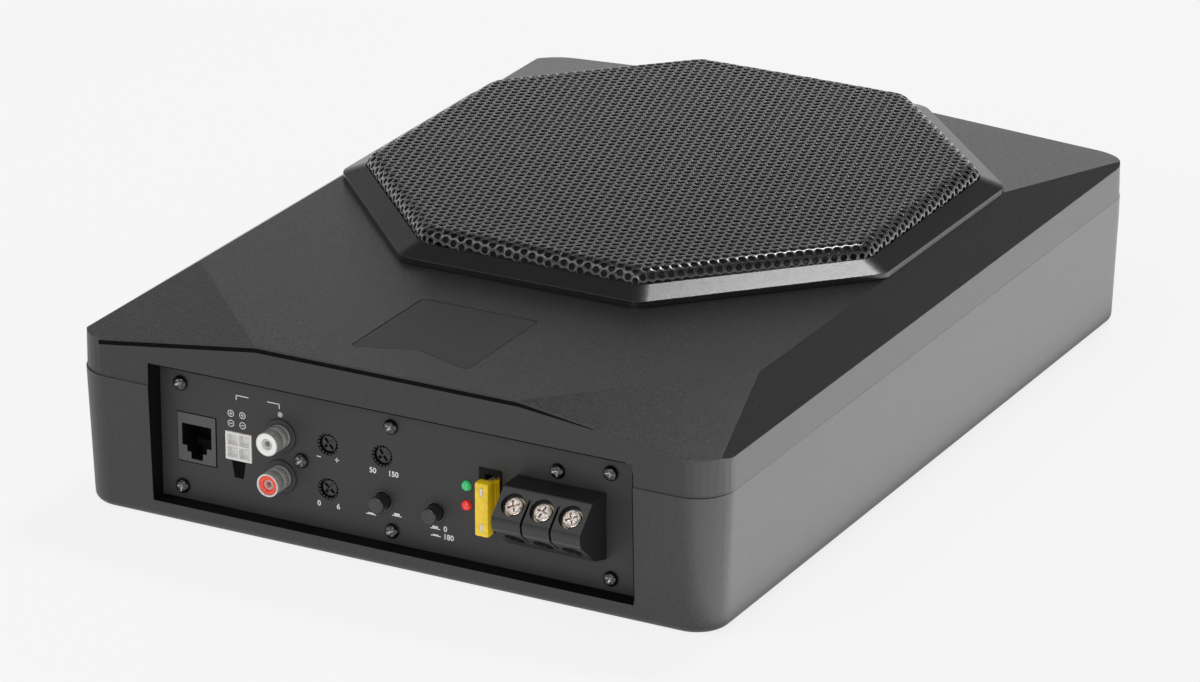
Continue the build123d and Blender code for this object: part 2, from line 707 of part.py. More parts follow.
with BuildPart() as terminal_block:
    with BuildSketch(Plane(origin=(block_left, 0, 0), x_dir=(0, 1, 0), z_dir=(1, 0, 0))):
        with BuildLine():
            Polyline(*block_profile, close=True)
        make_face()
    extrude(amount=block_right - block_left)
    for depth, z, radius in ((block_shelf, block_high, 3.0), (nose_upper_reach, nose_upper_z, nose_radius),
                             (nose_lower_reach, nose_lower_z, nose_radius), (heel_reach, heel_z, 1.0)):
        crease = Vector((block_left + block_right) / 2, panel_y - depth, z)
        fillet(terminal_block.edges().filter_by(Axis.X).sort_by_distance(crease)[0], radius)
    span(block_screw_x - 4, block_screw_x + 4, panel_back, board_y, block_high - 1, block_screw_z + 3.2)
    rod(block_screw_x, block_screw_z, panel_back - 1, panel_back + 8, screw_shank - 0.2, mode=Mode.SUBTRACT)
    for x in pole_xs:
        with BuildSketch(screw_plane(x, -1)):
            Circle(clamp_radius + mouth_margin)
        extrude(amount=-1 - mouth_depth, mode=Mode.SUBTRACT)
        with BuildSketch(screw_plane(x, -1)):
            Circle(clamp_radius + 0.35)
        extrude(amount=-4, mode=Mode.SUBTRACT)
        with BuildSketch(screw_plane(x, 2.0)):
            Rectangle(2 * cage_half_width, 11)
        extrude(amount=-cage_reach, mode=Mode.SUBTRACT)
        with BuildSketch(entry_plane(x, -1)):
            Circle(entry_radius)
        extrude(amount=-entry_depth, mode=Mode.SUBTRACT)
    for x in (pole_xs[0] + pole_pitch / 2, pole_xs[1] + pole_pitch / 2):
        span(x - 0.4, x + 0.4, panel_y - 30, panel_y - heel_reach - 4, block_low, block_high + 1, mode=Mode.SUBTRACT)
save(terminal_block, "terminal_block")

with BuildPart() as terminal_cages:
    for x in pole_xs:
        with BuildSketch(screw_plane(x, 2.0)):
            Rectangle(2 * cage_half_width, 11)
        extrude(amount=-cage_reach)
    for x in pole_xs:
        with BuildSketch(screw_plane(x, 1.0)):
            Circle(clamp_radius + turning_play)
        extrude(amount=-8.1, mode=Mode.SUBTRACT)
        with BuildSketch(entry_plane(x, -1)):
            Circle(entry_radius)
        extrude(amount=-entry_depth - 1, mode=Mode.SUBTRACT)
save(terminal_cages, "terminal_cages")

for k in range(3):
    with BuildPart() as clamp_screw:
        with BuildSketch(screw_plane(pole_xs[k], clamp_sink)):
            Circle(clamp_radius)
        extrude(amount=-clamp_length)
        with BuildSketch(screw_plane(pole_xs[k], clamp_sink)):
            Rectangle(4.6, 0.9)
            Rectangle(0.9, 4.6)
        extrude(amount=-1.4, mode=Mode.SUBTRACT)
    save(clamp_screw, "terminal_screw_" + str(k + 1))
    with BuildPart() as clamp_pad:
        with BuildSketch(screw_plane(pole_xs[k], clamp_sink + clamp_length + pad_play)):
            Circle(pad_radius)
        extrude(amount=-pad_thickness)
    save(clamp_pad, "clamp_pad_" + str(k + 1))

# ---------------------------------------------------------------- amplifier
with BuildPart() as amplifier_board:
    span(-88.0, 88.0, amplifier_front, -72.0, standoff_height, board_top)
    for x in standoff_xs:
        for y in standoff_ys:
            post(x, y, standoff_height - 1, board_top + 1, 1.2, mode=Mode.SUBTRACT)
save(amplifier_board, "amplifier_board")

with BuildPart() as board_screws:
    for x in standoff_xs:
        for y in standoff_ys:
            post(x, y, standoff_height - 6, board_top, 1.2)
            post(x, y, board_top, board_top + 1.8, 2.6)
    for x in (left_screw_x, right_screw_x):
        for z in (upper_screw_z, lower_screw_z):
            rod(x, z, board_y - 1, board_y + board_thickness + 0.1, 1.2)
            rod(x, z, board_y + board_thickness, board_y + board_thickness + 1.8, 2.6)
save(board_screws, "board_screws")

with BuildPart() as board_link:
    span(-14.0, 14.0, board_y + board_thickness, board_y + board_thickness + 8, board_top, board_top + 5)
save(board_link, "board_link")

with BuildPart() as heatsink:
    span(-60.0, 60.0, -84.0, -80.0, board_top, board_top + 24)
    for k in range(9):
        span(-60.0 + 14.5 * k, -58.0 + 14.5 * k, -80.5, -73.0, board_top, board_top + 24)
save(heatsink, "heatsink")

transistor_xs = (-45.0, -15.0, 15.0, 45.0)
with BuildPart() as power_transistors:
    for x in transistor_xs:
        span(x - 5, x + 5, -88.5, -84.0, board_top + 4, board_top + 19)
        for dx in (-2.5, 0, 2.5):
            span(x + dx - 0.4, x + dx + 0.4, -86.8, -86.0, board_top, board_top + 4.5)
        rod(x, board_top + 15.5, -90, -83, 1.6, mode=Mode.SUBTRACT)
save(power_transistors, "power_transistors")

with BuildPart() as transistor_screws:
    for x in transistor_xs:
        rod(x, board_top + 15.5, -88.5, -84.0, 1.6)
        rod(x, board_top + 15.5, -90.3, -88.5, 3.0)
save(transistor_screws, "transistor_screws")

with BuildPart() as filter_capacitors:
    for x in (-62.0, -42.0):
        post(x, -120.0, board_top, board_top + 26, 8.0)
save(filter_capacitors, "filter_capacitors")

with BuildPart() as choke_coil:
    post(30.0, -116.0, board_top, board_top + 13, 15.5)
    post(30.0, -116.0, board_top - 1, board_top + 14, 6.5, mode=Mode.SUBTRACT)
    fillet(choke_coil.edges().filter_by(GeomType.CIRCLE), 2.5)
save(choke_coil, "choke_coil")

# ---------------------------------------------------------------- case screws
with BuildPart() as case_screws:
    for x, y in case_posts:
        post(x, y, 35.6, 38.0, 3.0)
        post(x, y, 37.9, 56.0, 1.4)
save(case_screws, "case_screws")

# ---------------------------------------------------------------- woofer
magnet_low = motor_bottom + back_plate_thickness
magnet_high = magnet_low + magnet_thickness
plate_high = magnet_high + top_plate_thickness
pole_radius = coil_radius - 0.25 - gap_play
top_hole = coil_radius + 0.75 + gap_play
flange_top = well_floor + basket_sheet
land = flange_top + 0.8

back_plate = ring_profile([(0, motor_bottom), (motor_radius, motor_bottom), (motor_radius, magnet_low),
                           (pole_radius, magnet_low), (pole_radius, plate_high), (0, plate_high)])
back_plate.label = "back_plate"
export_step(back_plate, "parts/back_plate.step")

with BuildPart() as magnet:
    post(0, frame_centre_y, magnet_low, magnet_high, magnet_radius)
    post(0, frame_centre_y, magnet_low - 1, magnet_high + 1, 25.0, mode=Mode.SUBTRACT)
save(magnet, "magnet")

with BuildPart() as top_plate:
    post(0, frame_centre_y, magnet_high, plate_high, motor_radius)
    post(0, frame_centre_y, magnet_high - 1, plate_high + 1, top_hole, mode=Mode.SUBTRACT)
save(top_plate, "top_plate")

shelf_low = plate_high + 8
basket_shell = ring_profile([
    (30.0, plate_high), (50.0, plate_high), (58.0, shelf_low), (66.0, shelf_low), (86.0, well_floor - 5),
    (92.5, well_floor), (flange_radius, well_floor), (flange_radius, flange_top), (91.0, flange_top),
    (84.8, well_floor - 3.6), (65.0, shelf_low + basket_sheet), (57.0, shelf_low + basket_sheet),
    (49.0, plate_high + basket_sheet), (30.0, plate_high + basket_sheet),
])
with BuildPart() as basket:
    add(basket_shell)
    with Locations((0, frame_centre_y, (shelf_low + well_floor) / 2)):
        with PolarLocations(76.0, 6):
            Box(9.0, 42.0, 14.0, mode=Mode.SUBTRACT)
    with Locations((0, frame_centre_y, well_floor)):
        with PolarLocations(screw_circle, 8, start_angle=22.5):
            Cylinder(1.8, 6.0, mode=Mode.SUBTRACT)
save(basket, "basket")

with BuildPart() as woofer_gasket:
    post(0, frame_centre_y, land, land + 2.4, surround_outer)
    post(0, frame_centre_y, land - 1, land + 4, surround_outer - 3.6, mode=Mode.SUBTRACT)
save(woofer_gasket, "woofer_gasket")

roll_out = roll_centre + roll_radius
roll_in = roll_centre - roll_radius
with BuildPart() as surround:
    with BuildSketch(Plane(origin=(0, frame_centre_y, 0), x_dir=(1, 0, 0), z_dir=(0, -1, 0))):
        with Locations((roll_centre, flange_top + 0.4)):
            Circle(roll_radius + 0.4)
            Circle(roll_radius - 0.4, mode=Mode.SUBTRACT)
            with Locations((0, -10)):
                Rectangle(30, 20, mode=Mode.SUBTRACT)
        with Locations(((roll_out + surround_outer) / 2, flange_top + 0.4)):
            Rectangle(surround_outer - roll_out + 0.6, 0.8)
        with Locations(((roll_in + surround_inner) / 2, flange_top + 0.4)):
            Rectangle(roll_in - surround_inner + 0.6, 0.8)
    revolve(axis=Axis((0, frame_centre_y, 0), (0, 0, 1)))
save(surround, "surround")

neck = coil_radius + 0.55
cone_low = flange_top - 15
cone = ring_profile([
    (neck, cone_low - cone_sheet), (roll_in - 2.2, flange_top - cone_sheet), (roll_in - 0.8, flange_top - cone_sheet),
    (roll_in - 0.8, flange_top), (roll_in - 2.6, flange_top), (neck, cone_low),
])
cone.label = "cone"
export_step(cone, "parts/cone.step")

slope = 15.0 / (roll_in - 2.6 - neck)
rim_z = cone_low + slope * (cap_dome_radius - neck)
dust_cap = ring_profile([
    (cap_dome_radius, rim_z), (cap_dome_radius, rim_z + 0.7), (cap_dome_radius * 0.8, rim_z + 3.6),
    (cap_dome_radius * 0.5, rim_z + 6.0), (cap_dome_radius * 0.2, rim_z + 7.2), (0, rim_z + 7.4),
    (0, rim_z + 6.6), (cap_dome_radius * 0.5, rim_z + 5.2), (cap_dome_radius * 0.8, rim_z + 2.8),
    (cap_dome_radius - 1.2, rim_z - 0.3),
])
dust_cap.label = "dust_cap"
export_step(dust_cap, "parts/dust_cap.step")

coil_low = magnet_high - 4.0
with BuildPart() as voice_coil_former:
    post(0, frame_centre_y, coil_low, cone_low, coil_radius + 0.25)
    post(0, frame_centre_y, coil_low - 1, cone_low + 1, coil_radius - 0.25, mode=Mode.SUBTRACT)
    post(0, frame_centre_y, cone_low - cone_sheet, cone_low, neck)
    post(0, frame_centre_y, coil_low - 1, cone_low + 1, coil_radius - 0.25, mode=Mode.SUBTRACT)
save(voice_coil_former, "voice_coil_former")

with BuildPart() as voice_coil:
    post(0, frame_centre_y, coil_low, coil_low + 13.0, coil_radius + 0.75)
    post(0, frame_centre_y, coil_low - 1, coil_low + 14.0, coil_radius + 0.25, mode=Mode.SUBTRACT)
save(voice_coil, "voice_coil")

spider_z = shelf_low + basket_sheet
spider_points = [(coil_radius + 0.25, spider_z), (coil_radius + 0.25, spider_z + 0.6)]
waves = 5
ring_gap = (57.0 - coil_radius - 4) / (2 * waves)
for k in range(2 * waves + 1):
    spider_points.append((coil_radius + 3 + ring_gap * k, spider_z + 0.6 + (1.2 if k % 2 else 0.0)))
spider_points.append((64.0, spider_z + 0.6))
spider_points.append((64.0, spider_z))
for k in reversed(range(2 * waves + 1)):
    spider_points.append((coil_radius + 3 + ring_gap * k, spider_z + (1.2 if k % 2 else 0.0)))
spider = ring_profile(spider_points)
spider.label = "spider"
export_step(spider, "parts/spider.step")

with BuildPart() as woofer_screws:
    with Locations((0, frame_centre_y, flange_top - 4.6)):
        with PolarLocations(screw_circle, 8, start_angle=22.5):
            Cylinder(1.5, 9.3)
    with Locations((0, frame_centre_y, flange_top + 1.0)):
        with PolarLocations(screw_circle, 8, start_angle=22.5):
            Cylinder(3.3, 2.0)
save(woofer_screws, "woofer_screws")
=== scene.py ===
import json
import math

import bmesh
import bpy
from mathutils import Matrix, Vector


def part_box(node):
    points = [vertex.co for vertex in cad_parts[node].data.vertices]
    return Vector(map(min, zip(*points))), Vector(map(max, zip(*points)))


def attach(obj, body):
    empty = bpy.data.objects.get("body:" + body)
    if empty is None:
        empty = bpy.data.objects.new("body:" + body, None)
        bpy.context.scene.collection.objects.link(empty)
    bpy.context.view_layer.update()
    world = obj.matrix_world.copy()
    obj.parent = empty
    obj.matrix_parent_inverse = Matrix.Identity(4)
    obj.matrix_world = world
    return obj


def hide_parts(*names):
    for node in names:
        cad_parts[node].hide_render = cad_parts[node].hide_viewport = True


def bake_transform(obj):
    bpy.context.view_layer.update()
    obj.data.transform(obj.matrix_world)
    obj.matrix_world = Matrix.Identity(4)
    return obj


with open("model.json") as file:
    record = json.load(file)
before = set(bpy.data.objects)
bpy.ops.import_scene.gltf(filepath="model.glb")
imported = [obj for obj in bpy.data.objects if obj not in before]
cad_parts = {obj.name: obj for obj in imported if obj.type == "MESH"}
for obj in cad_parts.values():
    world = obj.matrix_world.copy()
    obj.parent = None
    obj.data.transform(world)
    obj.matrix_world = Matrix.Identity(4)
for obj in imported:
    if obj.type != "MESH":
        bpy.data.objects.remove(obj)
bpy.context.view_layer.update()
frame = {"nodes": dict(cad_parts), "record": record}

MM = 0.001

# ------------------------------------------------------------------ sizes in mm
CABINET_X, CABINET_Y = 123.5, 167.5    # half the cabinet's width and depth
CORNER_R = 14.0                        # its corners in plan
SEAM_Z = 49.0                          # the cover stands on the tub here
SKIRT_Y = -167.2                       # the cover's front wall at the seam
SKIRT_LEAN, TUB_LEAN = 0.0061, 0.0384  # how far a front wall draws in over 1 mm of height
DECK = 71.2                            # the cover's flat top
PANEL_Y = -159.8                       # the panel's face
CENTRE_Y = 38.0                        # axis of driver and grille
HALF_W, HALF_D = 108.4, 113.8          # the octagonal frame: half sizes, and half its flats
FRONT_FLAT, SIDE_FLAT = 46.3, 49.0


# ------------------------------------------------------------------ node helpers
def new_material(name, base, rough=0.5, metal=0.0, spec=0.5, coat=0.0, coat_rough=0.1,
                 transmission=0.0, ior=1.5, emission=None, strength=0.0):
    """A Principled material, with every value that is the same all over set on its own socket."""
    m = bpy.data.materials.new(name)
    m.use_nodes = True
    b = m.node_tree.nodes["Principled BSDF"]
    b.inputs["Base Color"].default_value = (*base, 1.0)
    b.inputs["Roughness"].default_value = rough
    b.inputs["Metallic"].default_value = metal
    b.inputs["Specular IOR Level"].default_value = spec
    b.inputs["Coat Weight"].default_value = coat
    b.inputs["Coat Roughness"].default_value = coat_rough
    b.inputs["Transmission Weight"].default_value = transmission
    b.inputs["IOR"].default_value = ior
    if emission:
        b.inputs["Emission Color"].default_value = (*emission, 1.0)
        b.inputs["Emission Strength"].default_value = strength
    return m


def node(m, kind, **values):
    """A shader node with its inputs or properties set by name."""
    n = m.node_tree.nodes.new(kind)
    for k, v in values.items():
        if k in n.inputs:
            n.inputs[k].default_value = v
        else:
            setattr(n, k, v)
    return n


def link(m, a, b):
    m.node_tree.links.new(a, b)


def coords(m, scale=(1, 1, 1)):
    """Object coordinates in metres, scaled."""
    t = node(m, "ShaderNodeTexCoord")
    p = node(m, "ShaderNodeMapping")
    p.inputs["Scale"].default_value = scale
    link(m, t.outputs["Object"], p.inputs["Vector"])
    return p.outputs["Vector"]


def grain(m, layers, distance=0.0002, stretch=(1, 1, 1)):
    """Bump from several noise layers given as (scale per metre, weight)."""
    vec = coords(m, stretch)
    total = None
    for scale, weight in layers:
        n = node(m, "ShaderNodeTexNoise", Scale=scale, Detail=3.0, Roughness=0.6)
        link(m, vec, n.inputs["Vector"])
        mul = node(m, "ShaderNodeMath", operation="MULTIPLY")
        mul.inputs[1].default_value = weight
        link(m, n.outputs["Fac"], mul.inputs[0])
        if total is None:
            total = mul.outputs[0]
        else:
            add = node(m, "ShaderNodeMath", operation="ADD")
            link(m, total, add.inputs[0])
            link(m, mul.outputs[0], add.inputs[1])
            total = add.outputs[0]
    bump = node(m, "ShaderNodeBump", Strength=1.0, Distance=distance)
    link(m, total, bump.inputs["Height"])
    link(m, bump.outputs["Normal"], m.node_tree.nodes["Principled BSDF"].inputs["Normal"])


NOISE_LOW, NOISE_HIGH = 0.3, 0.7    # the part of the noise's range that the colours span


def vary(m, low, high, scale, rough=None, stretch=(1, 1, 1)):
    """Base colour (and roughness) that drift a little over the surface."""
    b = m.node_tree.nodes["Principled BSDF"]
    vec = coords(m, stretch)
    n = node(m, "ShaderNodeTexNoise", Scale=scale, Detail=4.0, Roughness=0.6)
    link(m, vec, n.inputs["Vector"])
    r = node(m, "ShaderNodeValToRGB")
    r.color_ramp.elements[0].position = NOISE_LOW
    r.color_ramp.elements[1].position = NOISE_HIGH
    r.color_ramp.elements[0].color = (*low, 1)
    r.color_ramp.elements[1].color = (*high, 1)
    link(m, n.outputs["Fac"], r.inputs["Fac"])
    link(m, r.outputs["Color"], b.inputs["Base Color"])
    if rough:
        q = node(m, "ShaderNodeMapRange")
        q.inputs["From Min"].default_value = NOISE_LOW
        q.inputs["From Max"].default_value = NOISE_HIGH
        q.inputs["To Min"].default_value = rough[0]
        q.inputs["To Max"].default_value = rough[1]
        link(m, n.outputs["Fac"], q.inputs["Value"])
        link(m, q.outputs["Result"], b.inputs["Roughness"])


# ------------------------------------------------------------------ materials
def grey(v):
    """A grey a trace cooler than neutral."""
    return (v, v, v * 1.01)


tub_mat = new_material("tub_paint", grey(0.022), rough=0.42, spec=0.55)
vary(tub_mat, grey(0.011), grey(0.038), 1900, rough=(0.34, 0.5))
grain(tub_mat, [(1700, 0.5), (4200, 0.5)], 0.00018)
cover_mat = new_material("cover_paint", grey(0.018), rough=0.29, spec=0.5)
vary(cover_mat, grey(0.013), grey(0.024), 1500, rough=(0.26, 0.33))
grain(cover_mat, [(2800, 0.5), (8000, 0.5)], 0.00007)
skirt_mat = new_material("skirt_paint", grey(0.022), rough=0.42, spec=0.5)
vary(skirt_mat, grey(0.011), grey(0.036), 1900, rough=(0.34, 0.5), stretch=(0.5, 0.8, 1.7))
grain(skirt_mat, [(1900, 0.5), (4200, 0.5)], 0.00018, stretch=(0.5, 0.8, 1.7))
# painted shade: a near-black paint that darkens the inner walls of the panel opening, the fuse
# socket and the jack's inside, where shade falls
recess_shade_mat = new_material("opening_recess_painted_shade", grey(0.004), rough=0.6, spec=0.15)
vary(recess_shade_mat, grey(0.003), grey(0.006), 1400, rough=(0.55, 0.7))
frame_mat = new_material("frame_black", grey(0.012), rough=0.26, spec=0.5)
vary(frame_mat, grey(0.009), grey(0.016), 3500, rough=(0.25, 0.28))
grain(frame_mat, [(3600, 0.5), (9000, 0.5)], 0.000015)
grille_mat = new_material("grille_steel", grey(0.014), rough=0.24, spec=1.0, coat=0.7,
                          coat_rough=0.18)
vary(grille_mat, grey(0.011), grey(0.018), 2500, rough=(0.2, 0.28))
grain(grille_mat, [(5000, 1.0)], 0.00003)
emblem_mat = new_material("emblem_plain", grey(0.02), rough=0.45)
vary(emblem_mat, grey(0.018), grey(0.024), 1400, rough=(0.4, 0.5))
grain(emblem_mat, [(5200, 0.6), (11000, 0.4)], 0.00004)
panel_mat = new_material("panel_steel", grey(0.03), rough=0.5, spec=0.45)
vary(panel_mat, grey(0.026), grey(0.036), 1600, rough=(0.46, 0.56))
grain(panel_mat, [(6000, 0.6), (12000, 0.4)], 0.00004)
black_screw = new_material("black_screw", grey(0.05), rough=0.22, metal=1.0)
vary(black_screw, grey(0.03), grey(0.12), 900, rough=(0.16, 0.34))
grain(black_screw, [(3000, 1.0)], 0.00005)
zinc = new_material("zinc_screw", (0.62, 0.62, 0.6), rough=0.3, metal=1.0)
vary(zinc, (0.5, 0.5, 0.49), (0.7, 0.7, 0.68), 800, rough=(0.22, 0.38))
jack_mat = new_material("jack_grey", grey(0.07), rough=0.42)
vary(jack_mat, grey(0.06), grey(0.085), 1400, rough=(0.36, 0.5))
grain(jack_mat, [(6000, 1.0)], 0.00003)
dark = new_material("housing_black", grey(0.012), rough=0.5)
vary(dark, grey(0.009), grey(0.016), 1500, rough=(0.42, 0.58))
white = new_material("socket_white", (0.74, 0.73, 0.71), rough=0.38)
vary(white, (0.7, 0.69, 0.67), (0.79, 0.78, 0.76), 500, rough=(0.32, 0.44))
white.node_tree.nodes["Principled BSDF"].inputs["Subsurface Weight"].default_value = 0.15
white.node_tree.nodes["Principled BSDF"].inputs["Subsurface Scale"].default_value = 0.0008
nickel = new_material("nickel", (0.7, 0.69, 0.67), rough=0.34, metal=0.55)
vary(nickel, (0.62, 0.61, 0.59), (0.78, 0.77, 0.75), 700, rough=(0.28, 0.4), stretch=(1, 0.2, 1))
gloss_white = new_material("insulator_white", (0.88, 0.88, 0.86), rough=0.3, coat=0.3)
vary(gloss_white, (0.85, 0.85, 0.83), (0.9, 0.9, 0.89), 500, rough=(0.25, 0.35))
gloss_red = new_material("insulator_red", (0.9, 0.055, 0.02), rough=0.3, coat=0.3)
vary(gloss_red, (0.82, 0.04, 0.012), (0.98, 0.08, 0.03), 500, rough=(0.25, 0.35))
tin = new_material("tin_metal", (0.74, 0.74, 0.72), rough=0.25, metal=0.7)
vary(tin, (0.6, 0.6, 0.58), (0.82, 0.82, 0.8), 900, rough=(0.18, 0.34))
gold = new_material("gold_contact", (0.8, 0.6, 0.25), rough=0.25, metal=1.0)
vary(gold, (0.7, 0.5, 0.2), (0.85, 0.66, 0.3), 900, rough=(0.2, 0.32))
knob = new_material("knob_black", grey(0.006), rough=0.24, spec=0.7)
vary(knob, grey(0.004), grey(0.01), 1600, rough=(0.2, 0.3))
grain(knob, [(6000, 1.0)], 0.00003)
button_mat = new_material("button_grey", grey(0.016), rough=0.24, coat=0.4)
vary(button_mat, grey(0.012), grey(0.024), 1600, rough=(0.2, 0.3))
grain(button_mat, [(6000, 1.0)], 0.00003)
# painted glow: both lenses have a weak emission that makes them brighter and more saturated than
# their lighting gives
led_green = new_material("led_green", (0.01, 0.46, 0.13), rough=0.1, coat=1.0, coat_rough=0.04,
                         emission=(0.01, 0.5, 0.14), strength=0.25)
vary(led_green, (0.0, 0.3, 0.07), (0.04, 0.6, 0.2), 900)
led_red = new_material("led_red", (0.8, 0.012, 0.015), rough=0.1, coat=1.0, coat_rough=0.04,
                       emission=(0.8, 0.01, 0.012), strength=0.25)
vary(led_red, (0.6, 0.005, 0.008), (0.95, 0.03, 0.03), 900)
# painted glow: the fuse has a weak emission that makes its yellow brighter than its lighting gives
fuse_mat = new_material("fuse_yellow", (0.95, 0.66, 0.01), rough=0.14, transmission=0.22, ior=1.45,
                        coat=0.7, coat_rough=0.06, emission=(0.9, 0.6, 0.0), strength=0.12)
vary(fuse_mat, (0.8, 0.5, 0.004), (1.0, 0.78, 0.02), 500, rough=(0.1, 0.2))
grain(fuse_mat, [(900, 1.0)], 0.00008)
block_mat = new_material("block_black", grey(0.012), rough=0.36, spec=0.6)
vary(block_mat, grey(0.009), grey(0.017), 1500, rough=(0.3, 0.42))
grain(block_mat, [(6000, 1.0)], 0.00003)
cage = new_material("brass_cage", (0.6, 0.48, 0.3), rough=0.35, metal=1.0)
vary(cage, (0.45, 0.35, 0.2), (0.65, 0.52, 0.34), 900, rough=(0.3, 0.45))
silver = new_material("screw_silver", (0.78, 0.7, 0.64), rough=0.28, metal=0.85)
vary(silver, (0.34, 0.24, 0.18), (0.92, 0.88, 0.84), 1300, rough=(0.18, 0.36))
grain(silver, [(1500, 1.0)], 0.00006)
print_mat = new_material("print_white", (0.8, 0.8, 0.8), rough=0.55)
vary(print_mat, (0.7, 0.7, 0.7), (0.84, 0.84, 0.84), 2500)
tube_pale = new_material("tube_pale", (0.5, 0.5, 0.49), rough=0.4)
vary(tube_pale, (0.42, 0.42, 0.41), (0.58, 0.58, 0.56), 700)
tube_rose = new_material("tube_rose", (0.55, 0.36, 0.34), rough=0.4)
vary(tube_rose, (0.48, 0.3, 0.28), (0.62, 0.42, 0.4), 700)
# painted highlight: a pale metal for the panel screws' cross recesses, much lighter than the black
# heads, so the recesses show as glints
glint_mat = new_material("screw_recess_painted_glint", grey(0.5), rough=0.3, metal=0.8)
vary(glint_mat, grey(0.12), grey(0.75), 1600, rough=(0.2, 0.45))
shadow_mat = new_material("groove_shadow", (0.003, 0.003, 0.003), rough=0.9, spec=0.1)
vary(shadow_mat, (0.002, 0.002, 0.002), (0.004, 0.004, 0.004), 900)
fuse_rim_mat = new_material("fuse_rim", (0.5, 0.36, 0.01), rough=0.3)
vary(fuse_rim_mat, (0.42, 0.3, 0.01), (0.6, 0.42, 0.02), 900)
board_mat = new_material("board_green", (0.02, 0.12, 0.05), rough=0.35, coat=0.4)
vary(board_mat, (0.015, 0.09, 0.04), (0.03, 0.15, 0.07), 300)
alu = new_material("heatsink_aluminium", (0.6, 0.6, 0.62), rough=0.4, metal=1.0)
vary(alu, (0.5, 0.5, 0.52), (0.66, 0.66, 0.68), 200, rough=(0.35, 0.5), stretch=(1, 1, 0.05))
steel = new_material("plated_steel", (0.6, 0.6, 0.6), rough=0.35, metal=1.0)
vary(steel, (0.5, 0.5, 0.5), (0.66, 0.66, 0.66), 200, rough=(0.3, 0.45))
ferrite = new_material("ferrite", (0.05, 0.05, 0.052), rough=0.6)
vary(ferrite, (0.04, 0.04, 0.042), (0.065, 0.065, 0.068), 300, rough=(0.5, 0.7))
rubber = new_material("surround_rubber", grey(0.02), rough=0.55)
vary(rubber, grey(0.016), grey(0.026), 500, rough=(0.48, 0.62))
paper = new_material("cone_paper", grey(0.02), rough=0.75)
vary(paper, grey(0.015), grey(0.028), 400, rough=(0.65, 0.85))
grain(paper, [(700, 0.6), (2500, 0.4)], 0.0002)
cloth = new_material("spider_cloth", (0.45, 0.33, 0.14), rough=0.8)
vary(cloth, (0.38, 0.27, 0.1), (0.52, 0.4, 0.18), 1500)
copper = new_material("copper_winding", (0.6, 0.28, 0.12), rough=0.35, metal=1.0)
vary(copper, (0.5, 0.22, 0.08), (0.7, 0.34, 0.16), 800)
sleeve = new_material("capacitor_sleeve", (0.02, 0.025, 0.06), rough=0.3)
vary(sleeve, (0.015, 0.02, 0.05), (0.03, 0.035, 0.08), 300)

SLOT_MATS = {
    "tub_paint": tub_mat, "cover_paint": cover_mat, "frame_black": frame_mat,
    "grille_steel": grille_mat, "emblem_plain": emblem_mat, "panel_steel": panel_mat,
    "black_screw": black_screw, "zinc_screw": zinc, "jack_grey": jack_mat, "gold_contact": gold,
    "socket_white": white, "tin_metal": tin, "housing_black": dark, "nickel": nickel,
    "insulator_white": gloss_white, "insulator_red": gloss_red, "knob_black": knob,
    "button_grey": button_mat, "led_green": led_green, "led_red": led_red,
    "fuse_yellow": fuse_mat, "block_black": block_mat, "brass_cage": cage, "screw_silver": silver,
    "board_green": board_mat, "heatsink_aluminium": alu, "capacitor_sleeve": sleeve,
    "copper_winding": copper, "plated_steel": steel, "ferrite": ferrite, "basket_black": dark,
    "foam_rubber": rubber, "surround_rubber": rubber, "cone_paper": paper,
    "dust_cap_plastic": paper, "spider_cloth": cloth, "former_aluminium": alu,
}
node_slot = {s["node"]: s["material_slot"] for s in frame["record"]["subparts"]}
node_body = {n: b for b, ns in frame["record"]["behaviour"]["bodies"].items() for n in ns}
for name, ob in frame["nodes"].items():
    ob.data.materials.clear()
    ob.data.materials.append(SLOT_MATS[node_slot[name]])


# ------------------------------------------------------------------ mesh helpers
def piece(name, mesh, mat, like, replaces=False, more=()):
    """Adds a mesh object that rides with the CAD node it belongs to."""
    ob = bpy.data.objects.new(name, mesh)
    bpy.context.scene.collection.objects.link(ob)
    if mat and not mesh.materials:
        mesh.materials.append(mat)
    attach(ob, node_body[like])
    if replaces:
        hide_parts(like, *more)
    return ob


def finish_mesh(bm, name, angle=30):
    """Turns a bmesh into a mesh, smooth except at edges sharper than the angle."""
    bmesh.ops.recalc_face_normals(bm, faces=bm.faces)
    me = bpy.data.meshes.new(name)
    bm.to_mesh(me)
    bm.free()
    for p in me.polygons:
        p.use_smooth = True
    me.set_sharp_from_angle(angle=math.radians(angle))
    return me


def hard_edges(bm, angle):
    """Edges between two faces that turn by more than the angle, in degrees."""
    return [e for e in bm.edges
            if len(e.link_faces) == 2 and e.calc_face_angle(0) > math.radians(angle)]


WELD = 1.5e-5          # metres within which a CAD mesh's points are one
FLAT_ANGLE = 0.4       # degrees under which two faces are one


def refined(like, width, segments, angle, pick=None, sharp=40):
    """A copy of a CAD node with its hard edges rounded to a width in mm."""
    bm = bmesh.new()
    bm.from_mesh(frame["nodes"][like].data)
    bmesh.ops.remove_doubles(bm, verts=bm.verts, dist=WELD)
    bmesh.ops.dissolve_limit(bm, angle_limit=math.radians(FLAT_ANGLE), verts=bm.verts,
                             edges=bm.edges)
    edges = hard_edges(bm, angle)
    if pick:
        edges = [e for e in edges if pick((e.verts[0].co + e.verts[1].co) / 2 / MM, e)]
    bmesh.ops.bevel(bm, geom=edges, offset=width * MM, offset_type="OFFSET", segments=segments,
                    profile=0.5, affect="EDGES", clamp_overlap=True)
    me = finish_mesh(bm, like + "_fine", sharp)
    ob = piece(like + "_fine", me, SLOT_MATS[node_slot[like]], like, True)
    even = ob.modifiers.new("even_normals", "WEIGHTED_NORMAL")
    even.weight = 100
    even.keep_sharp = True
    return ob


